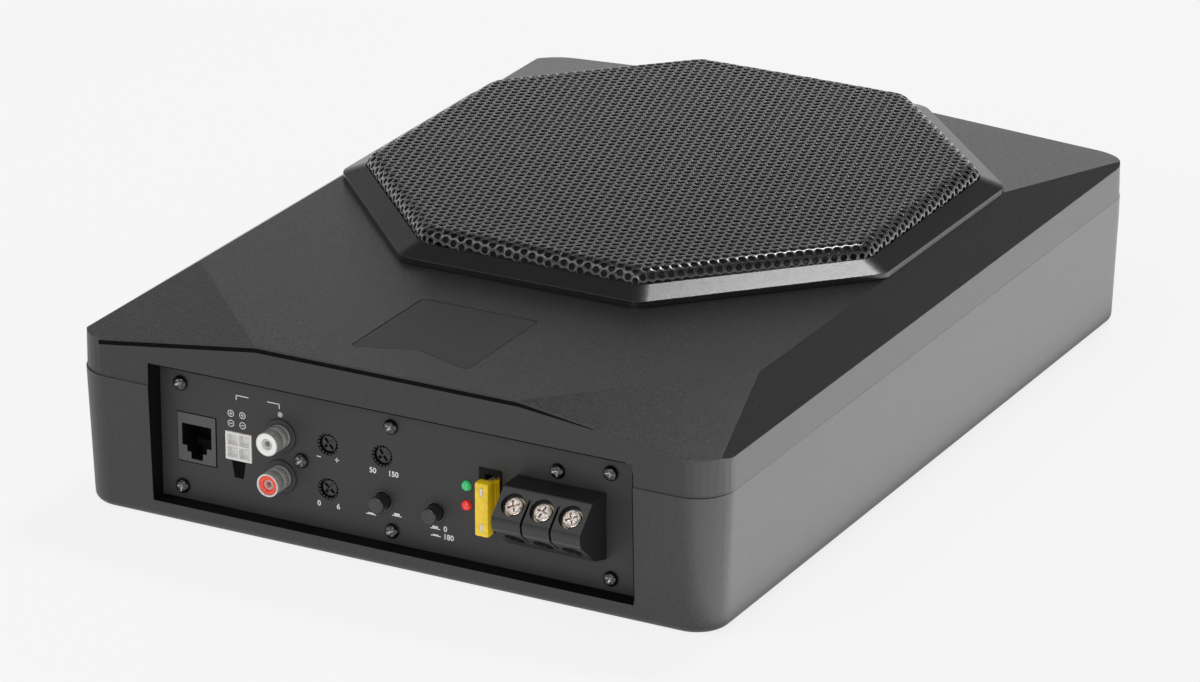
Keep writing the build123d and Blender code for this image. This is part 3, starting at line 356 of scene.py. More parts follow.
def frame_of(origin, out):
    """Matrix at an origin in mm, with local z along out and local x near the cabinet's x."""
    z = Vector(out).normalized()
    x = Vector((1, 0, 0))
    x = (x - z * x.dot(z)).normalized()
    y = z.cross(x)
    m = Matrix((x, y, z)).transposed().to_4x4()
    m.translation = Vector(origin) * MM
    return m


def polar(bm, m, rings, n=48, close_end=True, close_start=False, mat_index=0):
    """Rings of (radius or function of angle, height), in mm along m's z, joined into a skin."""
    loops = []
    for radius, height in rings:
        loop = []
        for k in range(n):
            t = 2 * math.pi * k / n
            r = radius(t) if callable(radius) else radius
            at = Vector((r * math.cos(t) * MM, r * math.sin(t) * MM, height * MM))
            loop.append(bm.verts.new(m @ at))
        loops.append(loop)
    for a, b in zip(loops, loops[1:]):
        for k in range(n):
            f = bm.faces.new((a[k], a[(k + 1) % n], b[(k + 1) % n], b[k]))
            f.material_index = mat_index
    if close_end:
        bm.faces.new(loops[-1]).material_index = mat_index
    if close_start:
        bm.faces.new(list(reversed(loops[0]))).material_index = mat_index
    return loops


TINY = 1e-9    # keeps divisions away from zero


def cross(arm, width):
    """Polar outline of a cross recess with arms of a length and width in mm."""
    def radius(t):
        c, s = abs(math.cos(t)) + TINY, abs(math.sin(t)) + TINY
        return max(min(arm / c, width / 2 / s), min(arm / s, width / 2 / c))
    return radius


def dome(r, height, steps):
    """Ring list of a low dome from its rim to near its top."""
    angles = [k / steps * math.pi / 2 for k in range(steps)]
    return [(r * math.cos(t), height * math.sin(t)) for t in angles]


def block(bm, x0, x1, y0, y1, z0, z1, bevel=0.0):
    """A box between two corners in mm, its edges rounded if a bevel is given."""
    vs = bmesh.ops.create_cube(bm, size=1.0)["verts"]
    for v in vs:
        v.co = Vector(((x0 + x1) / 2 + v.co.x * (x1 - x0), (y0 + y1) / 2 + v.co.y * (y1 - y0),
                       (z0 + z1) / 2 + v.co.z * (z1 - z0))) * MM
    if bevel:
        es = list({e for v in vs for e in v.link_edges})
        bmesh.ops.bevel(bm, geom=es, offset=bevel * MM, segments=2, profile=0.5, affect="EDGES")


# ------------------------------------------------------------------ cabinet
SEAM_LOW, SEAM_HIGH = 44.5, 51.5    # edges wholly between these heights belong to the seam
RIM_STEP = 0.27                     # how far the tub's rim draws in on the right wall
STEEP = 0.5                         # a normal's part along an axis that tells walls from decks
OPENING_X, OPENING_LOW, OPENING_HIGH = 93.5, 6, 57.2    # the opening that the panel sits in
OPENING_FRONT, OPENING_BACK = -167.35, -150


def off_seam(c, e):
    """True for an edge that doesn't belong to the seam, which stays sharp."""
    return not (SEAM_LOW < c.z < SEAM_HIGH
                and all(SEAM_LOW < v.co.z / MM < SEAM_HIGH for v in e.verts))


def draw_in_rim(me):
    """Closes the step at the seam on the right wall, where the photo shows no line."""
    for v in me.vertices:
        dx, dy = v.co.x / MM - (CABINET_X - CORNER_R), abs(v.co.y) / MM - (CABINET_Y - CORNER_R)
        depth = CORNER_R - (math.hypot(dx, dy) if min(dx, dy) > 0 else max(dx, dy))
        if v.co.z / MM > SEAM_Z - 0.1 and dx > 0 and depth < 0.1:
            v.co.x -= RIM_STEP * MM * (dx / CORNER_R) ** 2


tub = refined("bottom_tub", 0.45, 3, 40, pick=off_seam)
tub.data.materials.append(recess_shade_mat)
draw_in_rim(tub.data)
cover = refined("top_cover", 0.7, 3, 6, pick=off_seam, sharp=50)
cover.data.materials.append(skirt_mat)
cover.data.materials.append(recess_shade_mat)
for p in cover.data.polygons:
    if abs(p.normal.z) < STEEP and p.center.z / MM > SEAM_Z - 0.5:
        p.material_index = 1
# painted shade: faces of the tub and cover inside the panel opening that don't face the front take
# the near-black recess paint
for ob, index in ((tub, 1), (cover, 2)):
    for p in ob.data.polygons:
        c = p.center / MM
        if (OPENING_FRONT < c.y < OPENING_BACK and abs(c.x) < OPENING_X
                and OPENING_LOW < c.z < OPENING_HIGH and p.normal.y > -STEEP):
            p.material_index = index
refined("emblem_plate", 0.25, 2, 40)
refined("grille_frame", 0.5, 3, 25)
refined("control_panel", 0.2, 2, 40)
# painted shade: the fuse socket takes the near-black recess paint all over
for slot in frame["nodes"]["fuse_socket"].material_slots:
    slot.material = recess_shade_mat
refined("terminal_block", 0.35, 3, 35)
jack = refined("remote_jack", 0.15, 2, 40)
jack.data.materials.append(recess_shade_mat)
# painted shade: the jack's inside takes the near-black recess paint
for p in jack.data.polygons:
    if p.center.y / MM > PANEL_Y + 0.12:    # everything behind the jack's face
        p.material_index = 1


EDGE_SLOPE, EDGE_DROP = 0.139, 8.13    # how the cover's front edge falls towards its ends


def front_edge(x):
    """Height of the cover's front edge at x."""
    return min(DECK, DECK - EDGE_SLOPE * (abs(x) - HALF_W) - EDGE_DROP)


def front_wall(z):
    """The y of the cabinet's front wall at a height."""
    if z > SEAM_Z:
        return SKIRT_Y + SKIRT_LEAN * (z - SEAM_Z)
    return -CABINET_Y + TUB_LEAN * (SEAM_Z - z)


def groove():
    """Painted shadow along the front edge, under the deck: a dark strip laid on the wall that thins
    out to the right.
    """
    bm = bmesh.new()
    rows = []
    left, length, steps = -112.0, 190.0, 120
    height, thin_from, thin_over, thin_by = 1.5, 48, 30, 1.25
    for k in range(steps + 1):
        x = left + length * k / steps
        depth = height if x < thin_from else height - thin_by * (x - thin_from) / thin_over
        top = front_edge(x) - 0.75
        rows.append([bm.verts.new(Vector((x, front_wall(z) - 0.045, z)) * MM)
                     for z in (top, top - depth)])
    for a, b in zip(rows, rows[1:]):
        bm.faces.new((a[0], b[0], b[1], a[1]))
    piece("front_edge_painted_shadow", finish_mesh(bm, "front_edge_painted_shadow"), shadow_mat, "top_cover")


def outline():
    """Painted shadow for the thin gap along the top and right of the panel opening: dark strips
    laid on the skirt and tub.
    """
    bm = bmesh.new()
    for x0, x1, z0, z1 in ((-92.4, 90.0, 56.85, 57.2), (92.65, 92.95, 8.0, 48.95),
                           (92.65, 92.95, 49.05, 54.2)):
        bm.faces.new([bm.verts.new(Vector((x, front_wall(z) - 0.03, z)) * MM)
                      for x, z in ((x0, z0), (x1, z0), (x1, z1), (x0, z1))])
    piece("opening_gap_painted_shadow", finish_mesh(bm, "opening_gap_painted_shadow"), shadow_mat, "top_cover")


groove()
outline()


# ------------------------------------------------------------------ perforated grille
PITCH, HOLE = 3.46, 1.24                         # distance between holes, and their radius
SHEET = 0.9                                      # thickness
FOOT = 17.0                                      # where the shoulder begins, in from the frame
TOP_RUN, RISE, RUN, DROP = 3.8, 4.7, 5.1, 2.1    # shoulder: flat run, curve, drop at its end
SHOULDER_STEPS = 40
GRILLE_TOP = 81.03
BULGE, BULGE_X, BULGE_Y = 0.9, 104, 108          # how far the middle rises, and over what reach
REACH, REACH_X, REACH_Y = 75, 130, 135           # rows tried each way, and the sheet's limits
EDGE_MARGIN = 0.9                                # no hole's centre is nearer to the sheet's end
CORNERS = [(FRONT_FLAT, -HALF_D), (HALF_W, -SIDE_FLAT), (HALF_W, SIDE_FLAT), (FRONT_FLAT, HALF_D),
           (-FRONT_FLAT, HALF_D), (-HALF_W, SIDE_FLAT), (-HALF_W, -SIDE_FLAT),
           (-FRONT_FLAT, -HALF_D)]


def octagon(inset):
    """Corners of the frame outline moved inwards."""
    lines = []
    for k in range(8):
        p, q = Vector(CORNERS[k]), Vector(CORNERS[(k + 1) % 8])
        n = Vector((q.y - p.y, p.x - q.x)).normalized()
        lines.append((n, n.dot(p) - inset))
    pts = []
    for k in range(8):
        (n1, c1), (n2, c2) = lines[k - 1], lines[k]
        det = n1.x * n2.y - n1.y * n2.x
        pts.append(Vector(((c1 * n2.y - c2 * n1.y) / det, (n1.x * c2 - n2.x * c1) / det)))
    return pts, lines


foot_pts, foot_lines = octagon(FOOT)


def foot(p):
    """Nearest point of the foot octagon, outward distance and direction (under 0 inside)."""
    inside = max(n.dot(p) - c for n, c in foot_lines)
    if inside <= 0:
        return p, inside, Vector((1, 0))
    best = None
    for k in range(8):
        a, b = foot_pts[k], foot_pts[(k + 1) % 8]
        d = b - a
        t = min(1.0, max(0.0, (p - a).dot(d) / d.length_squared))
        q = a + d * t
        gap = (p - q).length
        if best is None or gap < best[1]:
            best = (q, gap, (p - q) / max(gap, TINY))
    return best


profile = [(0.0, 0.0, 0.0)]
for k in range(1, SHOULDER_STEPS + 1):
    t = math.pi / 2 * k / SHOULDER_STEPS
    u, z = TOP_RUN + RUN * math.sin(t), -RISE * (1 - math.cos(t))
    if k == 1:
        profile.append((TOP_RUN, TOP_RUN, 0.0))
    s0, u0, z0 = profile[-1]
    profile.append((s0 + math.hypot(u - u0, z - z0), u, z))
profile.append((profile[-1][0] + DROP, TOP_RUN + RUN, -RISE - DROP))
LENGTH = profile[-1][0]


def shoulder(s):
    """Outward run, drop and outward-up normal at a length along the shoulder."""
    s = min(max(s, 0.0), LENGTH)
    for (s0, u0, z0), (s1, u1, z1) in zip(profile, profile[1:]):
        if s <= s1:
            t = (s - s0) / (s1 - s0)
            ru, rz = (u1 - u0) / (s1 - s0), (z1 - z0) / (s1 - s0)
            return u0 + (u1 - u0) * t, z0 + (z1 - z0) * t, -rz, ru
    return profile[-1][1], profile[-1][2], 1.0, 0.0


def sheet_point(p, below=0.0):
    """A point of the flattened sheet placed on the pressed grille, at a depth below its face."""
    q, s, d = foot(p)
    z0 = GRILLE_TOP + BULGE * max(0.0, 1 - (q.x / BULGE_X) ** 2 - (q.y / BULGE_Y) ** 2)
    if s <= 0:
        return Vector((p.x, p.y + CENTRE_Y, z0 - below)) * MM
    run, drop, out, up = shoulder(s)
    xy = q + d * (run - below * out)
    return Vector((xy.x, xy.y + CENTRE_Y, z0 + drop - below * up)) * MM


def perforated():
    """The pressed sheet as twelve-sided cells, each with a hole that has a rounded rim."""
    row = math.radians(45)
    v1 = Vector((math.cos(row), math.sin(row))) * PITCH
    v2 = Vector((math.cos(row + math.pi / 3), math.sin(row + math.pi / 3))) * PITCH
    turn = [row + math.pi / 6 * k for k in range(12)]
    edge = [PITCH / 2 if k % 2 == 0 else PITCH / math.sqrt(3) for k in range(12)]
    verts, faces, border, shared = [], [], {}, {}

    def put(p, below):
        verts.append(sheet_point(p, below))
        return len(verts) - 1

    def common(p, below):
        """A point that neighbouring cells share: within about 0.05 mm it is the same one."""
        key = (round(p.x * 20), round(p.y * 20), below)
        if key not in shared:
            shared[key] = put(p, below)
        return shared[key]

    for i in range(-REACH, REACH + 1):
        for j in range(-REACH, REACH + 1):
            c = v1 * i + v2 * j
            if abs(c.x) > REACH_X or abs(c.y) > REACH_Y:
                continue
            if foot(c)[1] > LENGTH - EDGE_MARGIN:
                continue
            rim = [c + Vector((math.cos(t), math.sin(t))) * e for t, e in zip(turn, edge)]
            hole = [Vector((math.cos(t), math.sin(t))) for t in turn]
            loops = [[common(p, 0.0) for p in rim],
                     [put(c + h * (HOLE + 0.2), 0.0) for h in hole],
                     [put(c + h * (HOLE + 0.06), 0.06) for h in hole],
                     [put(c + h * HOLE, 0.2) for h in hole],
                     [put(c + h * HOLE, SHEET) for h in hole],
                     [common(p, SHEET) for p in rim]]
            for a, b in zip(loops, loops[1:]):
                for k in range(12):
                    n = (k + 1) % 12
                    faces.append((a[k], a[n], b[n], b[k]))
            for k in range(12):
                n = (k + 1) % 12
                pair = (min(loops[0][k], loops[0][n]), max(loops[0][k], loops[0][n]))
                if pair in border:
                    del border[pair]
                else:
                    border[pair] = (loops[0][k], loops[0][n], loops[5][n], loops[5][k])
    for a, b, c, d in border.values():
        faces.append((b, a, d, c))
    me = bpy.data.meshes.new("perforated_grille")
    me.from_pydata(verts, [], faces)
    me.validate()
    for p in me.polygons:
        p.use_smooth = True
    me.set_sharp_from_angle(angle=math.radians(50))
    piece("perforated_grille", me, grille_mat, "grille", True)


perforated()


# ------------------------------------------------------------------ panel screws
def face_on(x, z, out=0.0):
    """Matrix on the panel face: local z points out of the panel and local y points up."""
    return frame_of((x, PANEL_Y - out, z), (0, -1, 0))


SCREWS = [(x, z) for x in (-84.2, -2.0, 81.0) for z in (49.0, 11.3)]
SCREWS += [(-37.0, 29.8), (61.2, 45.8)]
HEAD_R, HEAD_H, SHANK_R, SHANK = 2.65, 1.65, 1.3, 9.9


def pan_head(bm, m, r, h, turn):
    """A rounded screw head with a cross recess, of radius r and height h."""
    spin = m @ Matrix.Rotation(turn, 4, "Z")
    slot = cross(r * 0.62, r * 0.34)
    deep = cross(r * 0.44, r * 0.24)
    rings = [(r, -0.05), (r, h * 0.3), (r * 0.97, h * 0.5), (r * 0.88, h * 0.75),
             (r * 0.74, h * 0.93), (r * 0.66, h), (slot, h), (slot, h - 0.06)]
    polar(bm, spin, rings, 64, close_end=False)
    # the recess takes material index 1, the painted-highlight metal
    polar(bm, spin, [(slot, h - 0.06), (deep, h - 0.75), (cross(r * 0.2, r * 0.12), h - 1.0),
                     (0.15, h - 1.2)], 64, mat_index=1)


bm = bmesh.new()
for k, (x, z) in enumerate(SCREWS):
    pan_head(bm, face_on(x, z), HEAD_R, HEAD_H, 0.35 + 1.1 * k)
    polar(bm, face_on(x, z), [(SHANK_R, 0.1), (SHANK_R, -SHANK)], 16, close_start=True)
heads = piece("panel_screw_heads", finish_mesh(bm, "panel_screw_heads", 38), black_screw,
              "panel_screws", True)
heads.data.materials.append(glint_mat)

# ------------------------------------------------------------------ high-level socket
SX, SZ, SIDE = -61.8, 29.8, 10.3    # its centre on the panel, and its width and height


def socket():
    """The white socket with four cells, whose floors are a little smaller than their mouths."""
    bm = bmesh.new()
    y0 = PANEL_Y - 0.2
    half, cell, web = SIDE / 2, 3.95, 0.6
    xs = [-half, -web / 2 - cell, -web / 2, web / 2, web / 2 + cell, half]
    depth, draft, length, rounding = 2.3, 0.12, 12.9, 0.16

    def at(x, z, d=0.0):
        return Vector((SX + x, y0 + d, SZ + z)) * MM
    grid = {(i, j): bm.verts.new(at(xs[i], xs[j])) for i in range(6) for j in range(6)}
    for i in range(5):
        for j in range(5):
            up = [grid[i, j], grid[i + 1, j], grid[i + 1, j + 1], grid[i, j + 1]]
            if i in (1, 3) and j in (1, 3):
                low = [bm.verts.new(at(xs[a] + (draft if a == i else -draft),
                                       xs[b] + (draft if b == j else -draft), depth))
                       for a, b in ((i, j), (i + 1, j), (i + 1, j + 1), (i, j + 1))]
                for k in range(4):
                    bm.faces.new((up[k], up[(k + 1) % 4], low[(k + 1) % 4], low[k]))
                bm.faces.new(low)
            else:
                bm.faces.new(up)
    ring = [grid[i, 0] for i in range(6)] + [grid[5, j] for j in range(1, 6)]
    ring += [grid[i, 5] for i in range(4, -1, -1)] + [grid[0, j] for j in range(4, 0, -1)]
    back = [bm.verts.new(v.co + Vector((0, length, 0)) * MM) for v in ring]
    for k in range(len(ring)):
        n = (k + 1) % len(ring)
        bm.faces.new((ring[k], ring[n], back[n], back[k]))
    bm.faces.new(back)
    bmesh.ops.recalc_face_normals(bm, faces=bm.faces)
    bmesh.ops.bevel(bm, geom=hard_edges(bm, 40), offset=rounding * MM, segments=2, profile=0.5,
                    affect="EDGES")
    piece("socket_shell", finish_mesh(bm, "socket_shell", 40), white, "high_level_socket", True)


socket()

# ------------------------------------------------------------------ phono sockets
PX, PZ = -45.1, {"left": 37.3, "right": 22.4}
BARREL = [(3.4, 8.2), (3.4, 8.9), (3.6, 9.2), (3.85, 9.3), (4.08, 9.2), (4.15, 8.95), (4.15, 5.2),
          (4.08, 5.1), (4.08, 4.9), (4.15, 4.8), (4.15, 2.0), (4.0, 1.8), (4.0, 1.3), (4.15, 1.1),
          (4.15, 0.7)]
WASHER = [(6.0, 0.0), (6.0, 0.5), (5.85, 0.68), (5.6, 0.75), (4.6, 0.75), (4.3, 0.72),
          (4.16, 0.6), (4.16, 0.1)]
bm = bmesh.new()
for z in PZ.values():
    polar(bm, face_on(PX, z), BARREL, 64, close_end=False)
piece("phono_barrels", finish_mesh(bm, "phono_barrels", 50), nickel, "phono_shells", True)
bm = bmesh.new()
for z in PZ.values():
    polar(bm, face_on(PX, z), WASHER, 64, close_end=False)
piece("phono_rings", finish_mesh(bm, "phono_rings", 40), panel_mat, "phono_washers", True)
for side, mat, face, outer in (("left", gloss_white, 9.25, 3.95), ("right", gloss_red, 8.85, 3.42)):
    bm = bmesh.new()
    rings = [(3.4, 7.0), (outer - 0.02, face - 0.25), (outer - 0.2, face), (2.6, face + 0.02),
             (2.15, face - 0.12), (1.95, face - 0.5), (1.9, face - 3.5), (1.2, face - 3.6)]
    polar(bm, face_on(PX, PZ[side]), rings, 64)
    polar(bm, face_on(PX, PZ[side]), [(3.45, 7.0), (3.45, -9.0)], 32)
    piece("phono_face_" + side, finish_mesh(bm, "phono_face_" + side, 50), mat,
          side + "_phono_insulator", True)

for side, mat, face in (("left", tube_pale, 8.7), ("right", tube_rose, 8.3)):
    bm = bmesh.new()
    rings = [(1.88, face - 1.2), (1.88, face - 0.1), (1.78, face), (1.15, face),
             (1.02, face - 0.15), (0.95, face - 2.5)]
    polar(bm, face_on(PX, PZ[side]), rings, 40)
    piece("phono_tube_" + side, finish_mesh(bm, "phono_tube_" + side, 40), mat,
          side + "_phono_insulator")

# ------------------------------------------------------------------ trimmers
TRIMMERS = {"gain_trimmer": (-26.7, 37.7, 0.72), "bass_trimmer": (-26.7, 21.5, 0.86),
            "lowpass_trimmer": (-5.6, 37.7, 0.6)}    # x, z and the turn of the slot at rest
for name, (x, z, turn) in TRIMMERS.items():
    bm = bmesh.new()
    m = face_on(x, z) @ Matrix.Rotation(turn, 4, "Z")
    slot = cross(2.35, 1.05)
    polar(bm, m, [(2.85, -9.0), (2.85, -1.25), (2.7, -1.02), (2.5, -0.98), (slot, -0.98),
                  (slot, -1.05), (cross(2.2, 0.8), -1.85), (0.1, -1.78)], 64, close_start=True)
    piece(name + "_shaft", finish_mesh(bm, name + "_shaft", 38), knob, name, True)


def teeth(t):
    """Inner outline of a trimmer's collar: 18 blunt teeth, 0.5 mm high."""
    return 3.36 + 0.5 * (0.5 + 0.5 * math.tanh(4 * math.sin(18 * t)))


bm = bmesh.new()
for x, z, turn in TRIMMERS.values():
    rings = [(4.0, -0.15), (3.97, -0.4), (teeth, -0.55), (teeth, -2.4), (2.95, -2.45)]
    polar(bm, face_on(x, z), rings, 180, close_end=False)
piece("trimmer_collars", finish_mesh(bm, "trimmer_collars", 40), knob, "trimmer_bodies")

# ------------------------------------------------------------------ push buttons
BUTTONS, BUTTON_Z = {"auto_button": -5.6, "phase_button": 14.6}, 21.5
for name, x in BUTTONS.items():
    bm = bmesh.new()
    rings = [(2.9, -8.4), (2.9, 4.35), (2.86, 4.6), (2.72, 4.84), (2.45, 4.97), (2.2, 5.0),
             (1.2, 4.94), (0.2, 4.92)]
    polar(bm, face_on(x, BUTTON_Z), rings, 64, close_start=True)
    piece(name + "_cap_fine", finish_mesh(bm, name + "_cap_fine", 40), button_mat, name, True)
bm = bmesh.new()
for x in BUTTONS.values():
    rings = [(4.0, -0.1), (3.9, 0.12), (3.6, 0.2), (3.2, 0.15), (3.05, -0.1), (3.05, -2.4)]
    polar(bm, face_on(x, BUTTON_Z), rings, 64, close_end=False)
piece("button_collars", finish_mesh(bm, "button_collars", 50), knob, "switch_bodies")

# ------------------------------------------------------------------ indicator lamps
LAMP_X, LAMP_R, LAMP_H = 26.7, 1.88, 1.5
for name, z, mat in (("power_led", 33.5, led_green), ("protect_led", 26.4, led_red)):
    bm = bmesh.new()
    rings = [(LAMP_R, -4.0), (LAMP_R, -0.1)] + dome(LAMP_R, LAMP_H, 9) + [(0.08, LAMP_H)]
    polar(bm, face_on(LAMP_X, z), rings, 48, close_start=True)
    piece(name + "_lens", finish_mesh(bm, name + "_lens", 60), mat, name, True)

# ------------------------------------------------------------------ blade fuse
FX, FZ = 36.45, 29.45           # its centre on the panel
FRONT = 7.6                     # how far its face stands out of the panel
FUSE_X, FUSE_Z = 2.65, 9.65     # half its width and height
WINDOW_Z = 6.35                 # a window's distance from the middle


def fuse():
    """The fuse's housing with its ribs, the rims of its two windows and the tabs in them."""
    bm = bmesh.new()

    def ring(half_x, half_z, y, corner):
        pts = []
        for cx, cz, a0 in ((1, -1, -90), (1, 1, 0), (-1, 1, 90), (-1, -1, 180)):
            for k in range(5):
                t = math.radians(a0 + 22.5 * k)
                pts.append((FX + cx * (half_x - corner) + corner * math.cos(t),
                            FZ + cz * (half_z - corner) + corner * math.sin(t)))
        return [bm.verts.new(Vector((x, PANEL_Y - y, z)) * MM) for x, z in pts]
    steps = [(FUSE_X - 0.7, FUSE_Z - 0.7, FRONT, 0.5),
             (FUSE_X - 0.25, FUSE_Z - 0.25, FRONT - 0.12, 0.6), (FUSE_X, FUSE_Z, FRONT - 0.6, 0.8),
             (FUSE_X, FUSE_Z, FRONT - 3.4, 0.8), (2.5, 9.4, FRONT - 3.9, 0.8),
             (2.1, 8.2, FRONT - 4.3, 0.7)]
    for k in range(4):
        steps += [(half_x, half_z - 0.25 * k, FRONT - y - 1.6 * k, 0.6)
                  for half_x, half_z, y in ((2.1, 8.1, 4.6), (2.1, 8.1, 5.4), (1.85, 7.85, 5.6),
                                            (1.85, 7.85, 6.0))]
    loops = [ring(*s) for s in steps]
    bm.faces.new(loops[0])
    for a, b in zip(loops, loops[1:]):
        for k in range(20):
            bm.faces.new((a[k], a[(k + 1) % 20], b[(k + 1) % 20], b[k]))
    bm.faces.new(list(reversed(loops[-1])))
    piece("fuse_housing", finish_mesh(bm, "fuse_housing", 30), fuse_mat, "fuse_body", True)
    for name, half_x, half_z, out, back, bevel, mat, like in (
            ("fuse_window_rims", 0.75, 1.75, 0.04, 0.5, 0.3, fuse_rim_mat, "fuse_body"),
            ("fuse_test_tabs", 0.42, 1.35, 0.09, 0.4, 0.12, tin, "fuse_blades")):
        bm = bmesh.new()
        for z in (FZ - WINDOW_Z, FZ + WINDOW_Z):
            block(bm, FX - half_x, FX + half_x, PANEL_Y - FRONT - out, PANEL_Y - FRONT + back,
                  z - half_z, z + half_z, bevel)
        piece(name, finish_mesh(bm, name, 30), mat, like)


fuse()

# ------------------------------------------------------------------ terminal clamp screws
UP = Vector((0, -0.6799, 0.7333))              # the way the block's sloping face points
CLAMP_X, CLAMP_PITCH = 51.95, 10.75
CLAMP_OUT, CLAMP_Z, CLAMP_SUNK = 14.0, 37.05, 0.9
for k in range(3):
    x = CLAMP_X + CLAMP_PITCH * k
    bm = bmesh.new()
    m = frame_of(Vector((x, PANEL_Y - CLAMP_OUT, CLAMP_Z)) - UP * CLAMP_SUNK, UP)
    m = m @ Matrix.Rotation(0.5 + 0.8 * k, 4, "Z")
    slot, deep = cross(2.3, 0.95), cross(2.0, 0.7)
    polar(bm, m, [(3.3, -3.6), (3.3, -0.35), (3.2, -0.12), (2.95, 0.0), (slot, 0.02),
                  (slot, -0.05), (deep, -1.1), (0.1, -1.2)], 64, close_start=True)
    name = "clamp_screw_head_%d" % (k + 1)
    piece(name, finish_mesh(bm, name, 38), silver, "terminal_screw_%d" % (k + 1), True)


# ------------------------------------------------------------------ printed marks
def flat(bm, x0, x1, z0, z1):
    """A printed bar on the panel."""
    block(bm, x0, x1, PANEL_Y - 0.03, PANEL_Y + 0.02, z0, z1)


def ring_mark(bm, x, z, r, w):
    """A printed circle of radius r and line width w."""
    polar(bm, face_on(x, z), [(r, -0.02), (r, 0.03), (r - w, 0.03), (r - w, -0.02)], 32,
          close_end=False)


FIGURE = 2.7                            # type size of the figures
LINE, RING_LINE, SIGN = 0.3, 0.24, 0.7  # line widths of bracket and circles, half a sign's length


def number(text, x, z):
    """A plain figure as a thin raised mesh, centred at x and z."""
    curve = bpy.data.curves.new("figure_" + text, "FONT")
    curve.body = text
    curve.size = FIGURE * MM
    curve.extrude = 0.02 * MM
    curve.offset = 0.055 * MM
    curve.align_x = "CENTER"
    ob = bpy.data.objects.new("figure", curve)
    me = bpy.data.meshes.new_from_object(ob)
    me.transform(face_on(x, z - FIGURE * 0.35, 0.01))
    bpy.data.objects.remove(ob)
    bpy.data.curves.remove(curve)
    return me


# the bracket over the inputs
BRACKET_Z = 48.6
bm = bmesh.new()
for x0, x1, xe in ((-62.3, -57.6, -62.3), (-50.0, -45.4, -45.4)):
    flat(bm, x0 - LINE / 2, x1 + LINE / 2, BRACKET_Z - LINE / 2, BRACKET_Z + LINE / 2)
    flat(bm, xe - LINE / 2, xe + LINE / 2, 46.9, BRACKET_Z)
# plus and minus signs in circles, over the white socket
for x in (-64.6, -60.0):
    for z, plus in ((41.6, True), (37.95, False)):
        ring_mark(bm, x, z, 1.25, RING_LINE)
        flat(bm, x - SIGN, x + SIGN, z - 0.13, z + 0.13)
        if plus:
            flat(bm, x - 0.13, x + 0.13, z - SIGN, z + SIGN)
# a minus and a plus under the gain trimmer
flat(bm, -31.0, -29.4, 32.55, 32.85)
flat(bm, -24.0, -22.4, 32.55, 32.85)
flat(bm, -23.35, -23.05, 31.9, 33.5)
# a button out and a button pushed in, beside each button
for x, z, pushed in ((-0.2, 17.2, False), (-10.2, 15.9, True), (14.5, 15.7, False),
                     (14.7, 13.1, True)):
    flat(bm, x - 1.9, x + 1.9, z - 0.35, z - 0.05)
    flat(bm, x - 1.1, x + 1.1, z, z + (0.35 if pushed else 0.8))
# a phono socket seen from the front
ring_mark(bm, PX, 44.9, 0.9, RING_LINE)
ring_mark(bm, PX, 44.9, 0.42, 0.4)
marks = [finish_mesh(bm, "marks", 30)]
marks += [number("0", -30.4, 15.7), number("6", -22.9, 15.9), number("50", -9.3, 31.9),
          number("150", -1.4, 32.0), number("0", 18.4, 16.1), number("180", 19.6, 13.3)]
bm = bmesh.new()
for me in marks:
    bm.from_mesh(me)
piece("panel_marks", finish_mesh(bm, "panel_marks", 30), print_mat, "control_panel")

# painted shadow: dark sheets on the panel for the notch under the white socket and the thin gap
# round the jack
bm = bmesh.new()
notch = [(-2.75, 24.7), (-1.75, 18.35), (1.75, 18.35), (2.75, 24.7)]
bm.faces.new([bm.verts.new(Vector((SX + x, PANEL_Y - 0.04, z)) * MM) for x, z in notch])
low, high = (Vector(v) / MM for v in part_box("remote_jack"))
for x0, x1, z0, z1 in ((low.x - 0.15, high.x + 0.5, high.z, high.z + 0.35),
                       (high.x, high.x + 0.5, low.z, high.z),
                       (low.x - 0.15, high.x + 0.5, low.z - 0.3, low.z),
                       (low.x - 0.15, low.x, low.z, high.z)):
    flat(bm, x0, x1, z0, z1)
piece("panel_gap_painted_shadows", finish_mesh(bm, "panel_gap_painted_shadows"), shadow_mat, "control_panel")

# ------------------------------------------------------------------ surround, behind the grille
ROLL, CROWN, HOLLOW = 85.5, 5.0, 4.2    # the roll's middle, and its outer and inner radius
FLAT_TOP, FLAT_LOW = 65.3, 64.5         # its flat rims, from the inner to the outer edge
INNER_EDGE, OUTER_EDGE = 75.7, 95.3
ROLL_STEPS, SECTORS, STEPS = 16, 24, 6
arc = [math.pi * k / ROLL_STEPS for k in range(ROLL_STEPS + 1)]
section = [(INNER_EDGE, FLAT_LOW), (INNER_EDGE, FLAT_TOP)]
section += [(ROLL - CROWN * math.cos(t), FLAT_TOP + CROWN * math.sin(t)) for t in arc]
section += [(OUTER_EDGE, FLAT_TOP), (OUTER_EDGE, FLAT_LOW), (89.7, FLAT_LOW)]
section += [(ROLL + HOLLOW * math.cos(t), FLAT_TOP + HOLLOW * math.sin(t)) for t in arc]
section += [(81.3, FLAT_LOW)]
for n in range(SECTORS):
    bm = bmesh.new()
    rows = []
    for i in range(STEPS + 1):
        t = 2 * math.pi * (n + i / STEPS) / SECTORS
        rows.append([bm.verts.new(Vector((r * math.cos(t), CENTRE_Y + r * math.sin(t), z)) * MM)
                     for r, z in section])
    for a, b in zip(rows, rows[1:]):
        for k in range(len(section)):
            j = (k + 1) % len(section)
            bm.faces.new((a[k], a[j], b[j], b[k]))
    me = finish_mesh(bm, "surround_%02d" % n, 40)
    me.materials.append(rubber)
    ob = bpy.data.objects.new("surround_%02d" % n, me)
    bpy.context.scene.collection.objects.link(ob)
    mid = 2 * math.pi * (n + 0.5) / SECTORS
    side = Vector((math.cos(mid), math.sin(mid), 0)) * MM
    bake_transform(ob)
    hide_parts("surround")

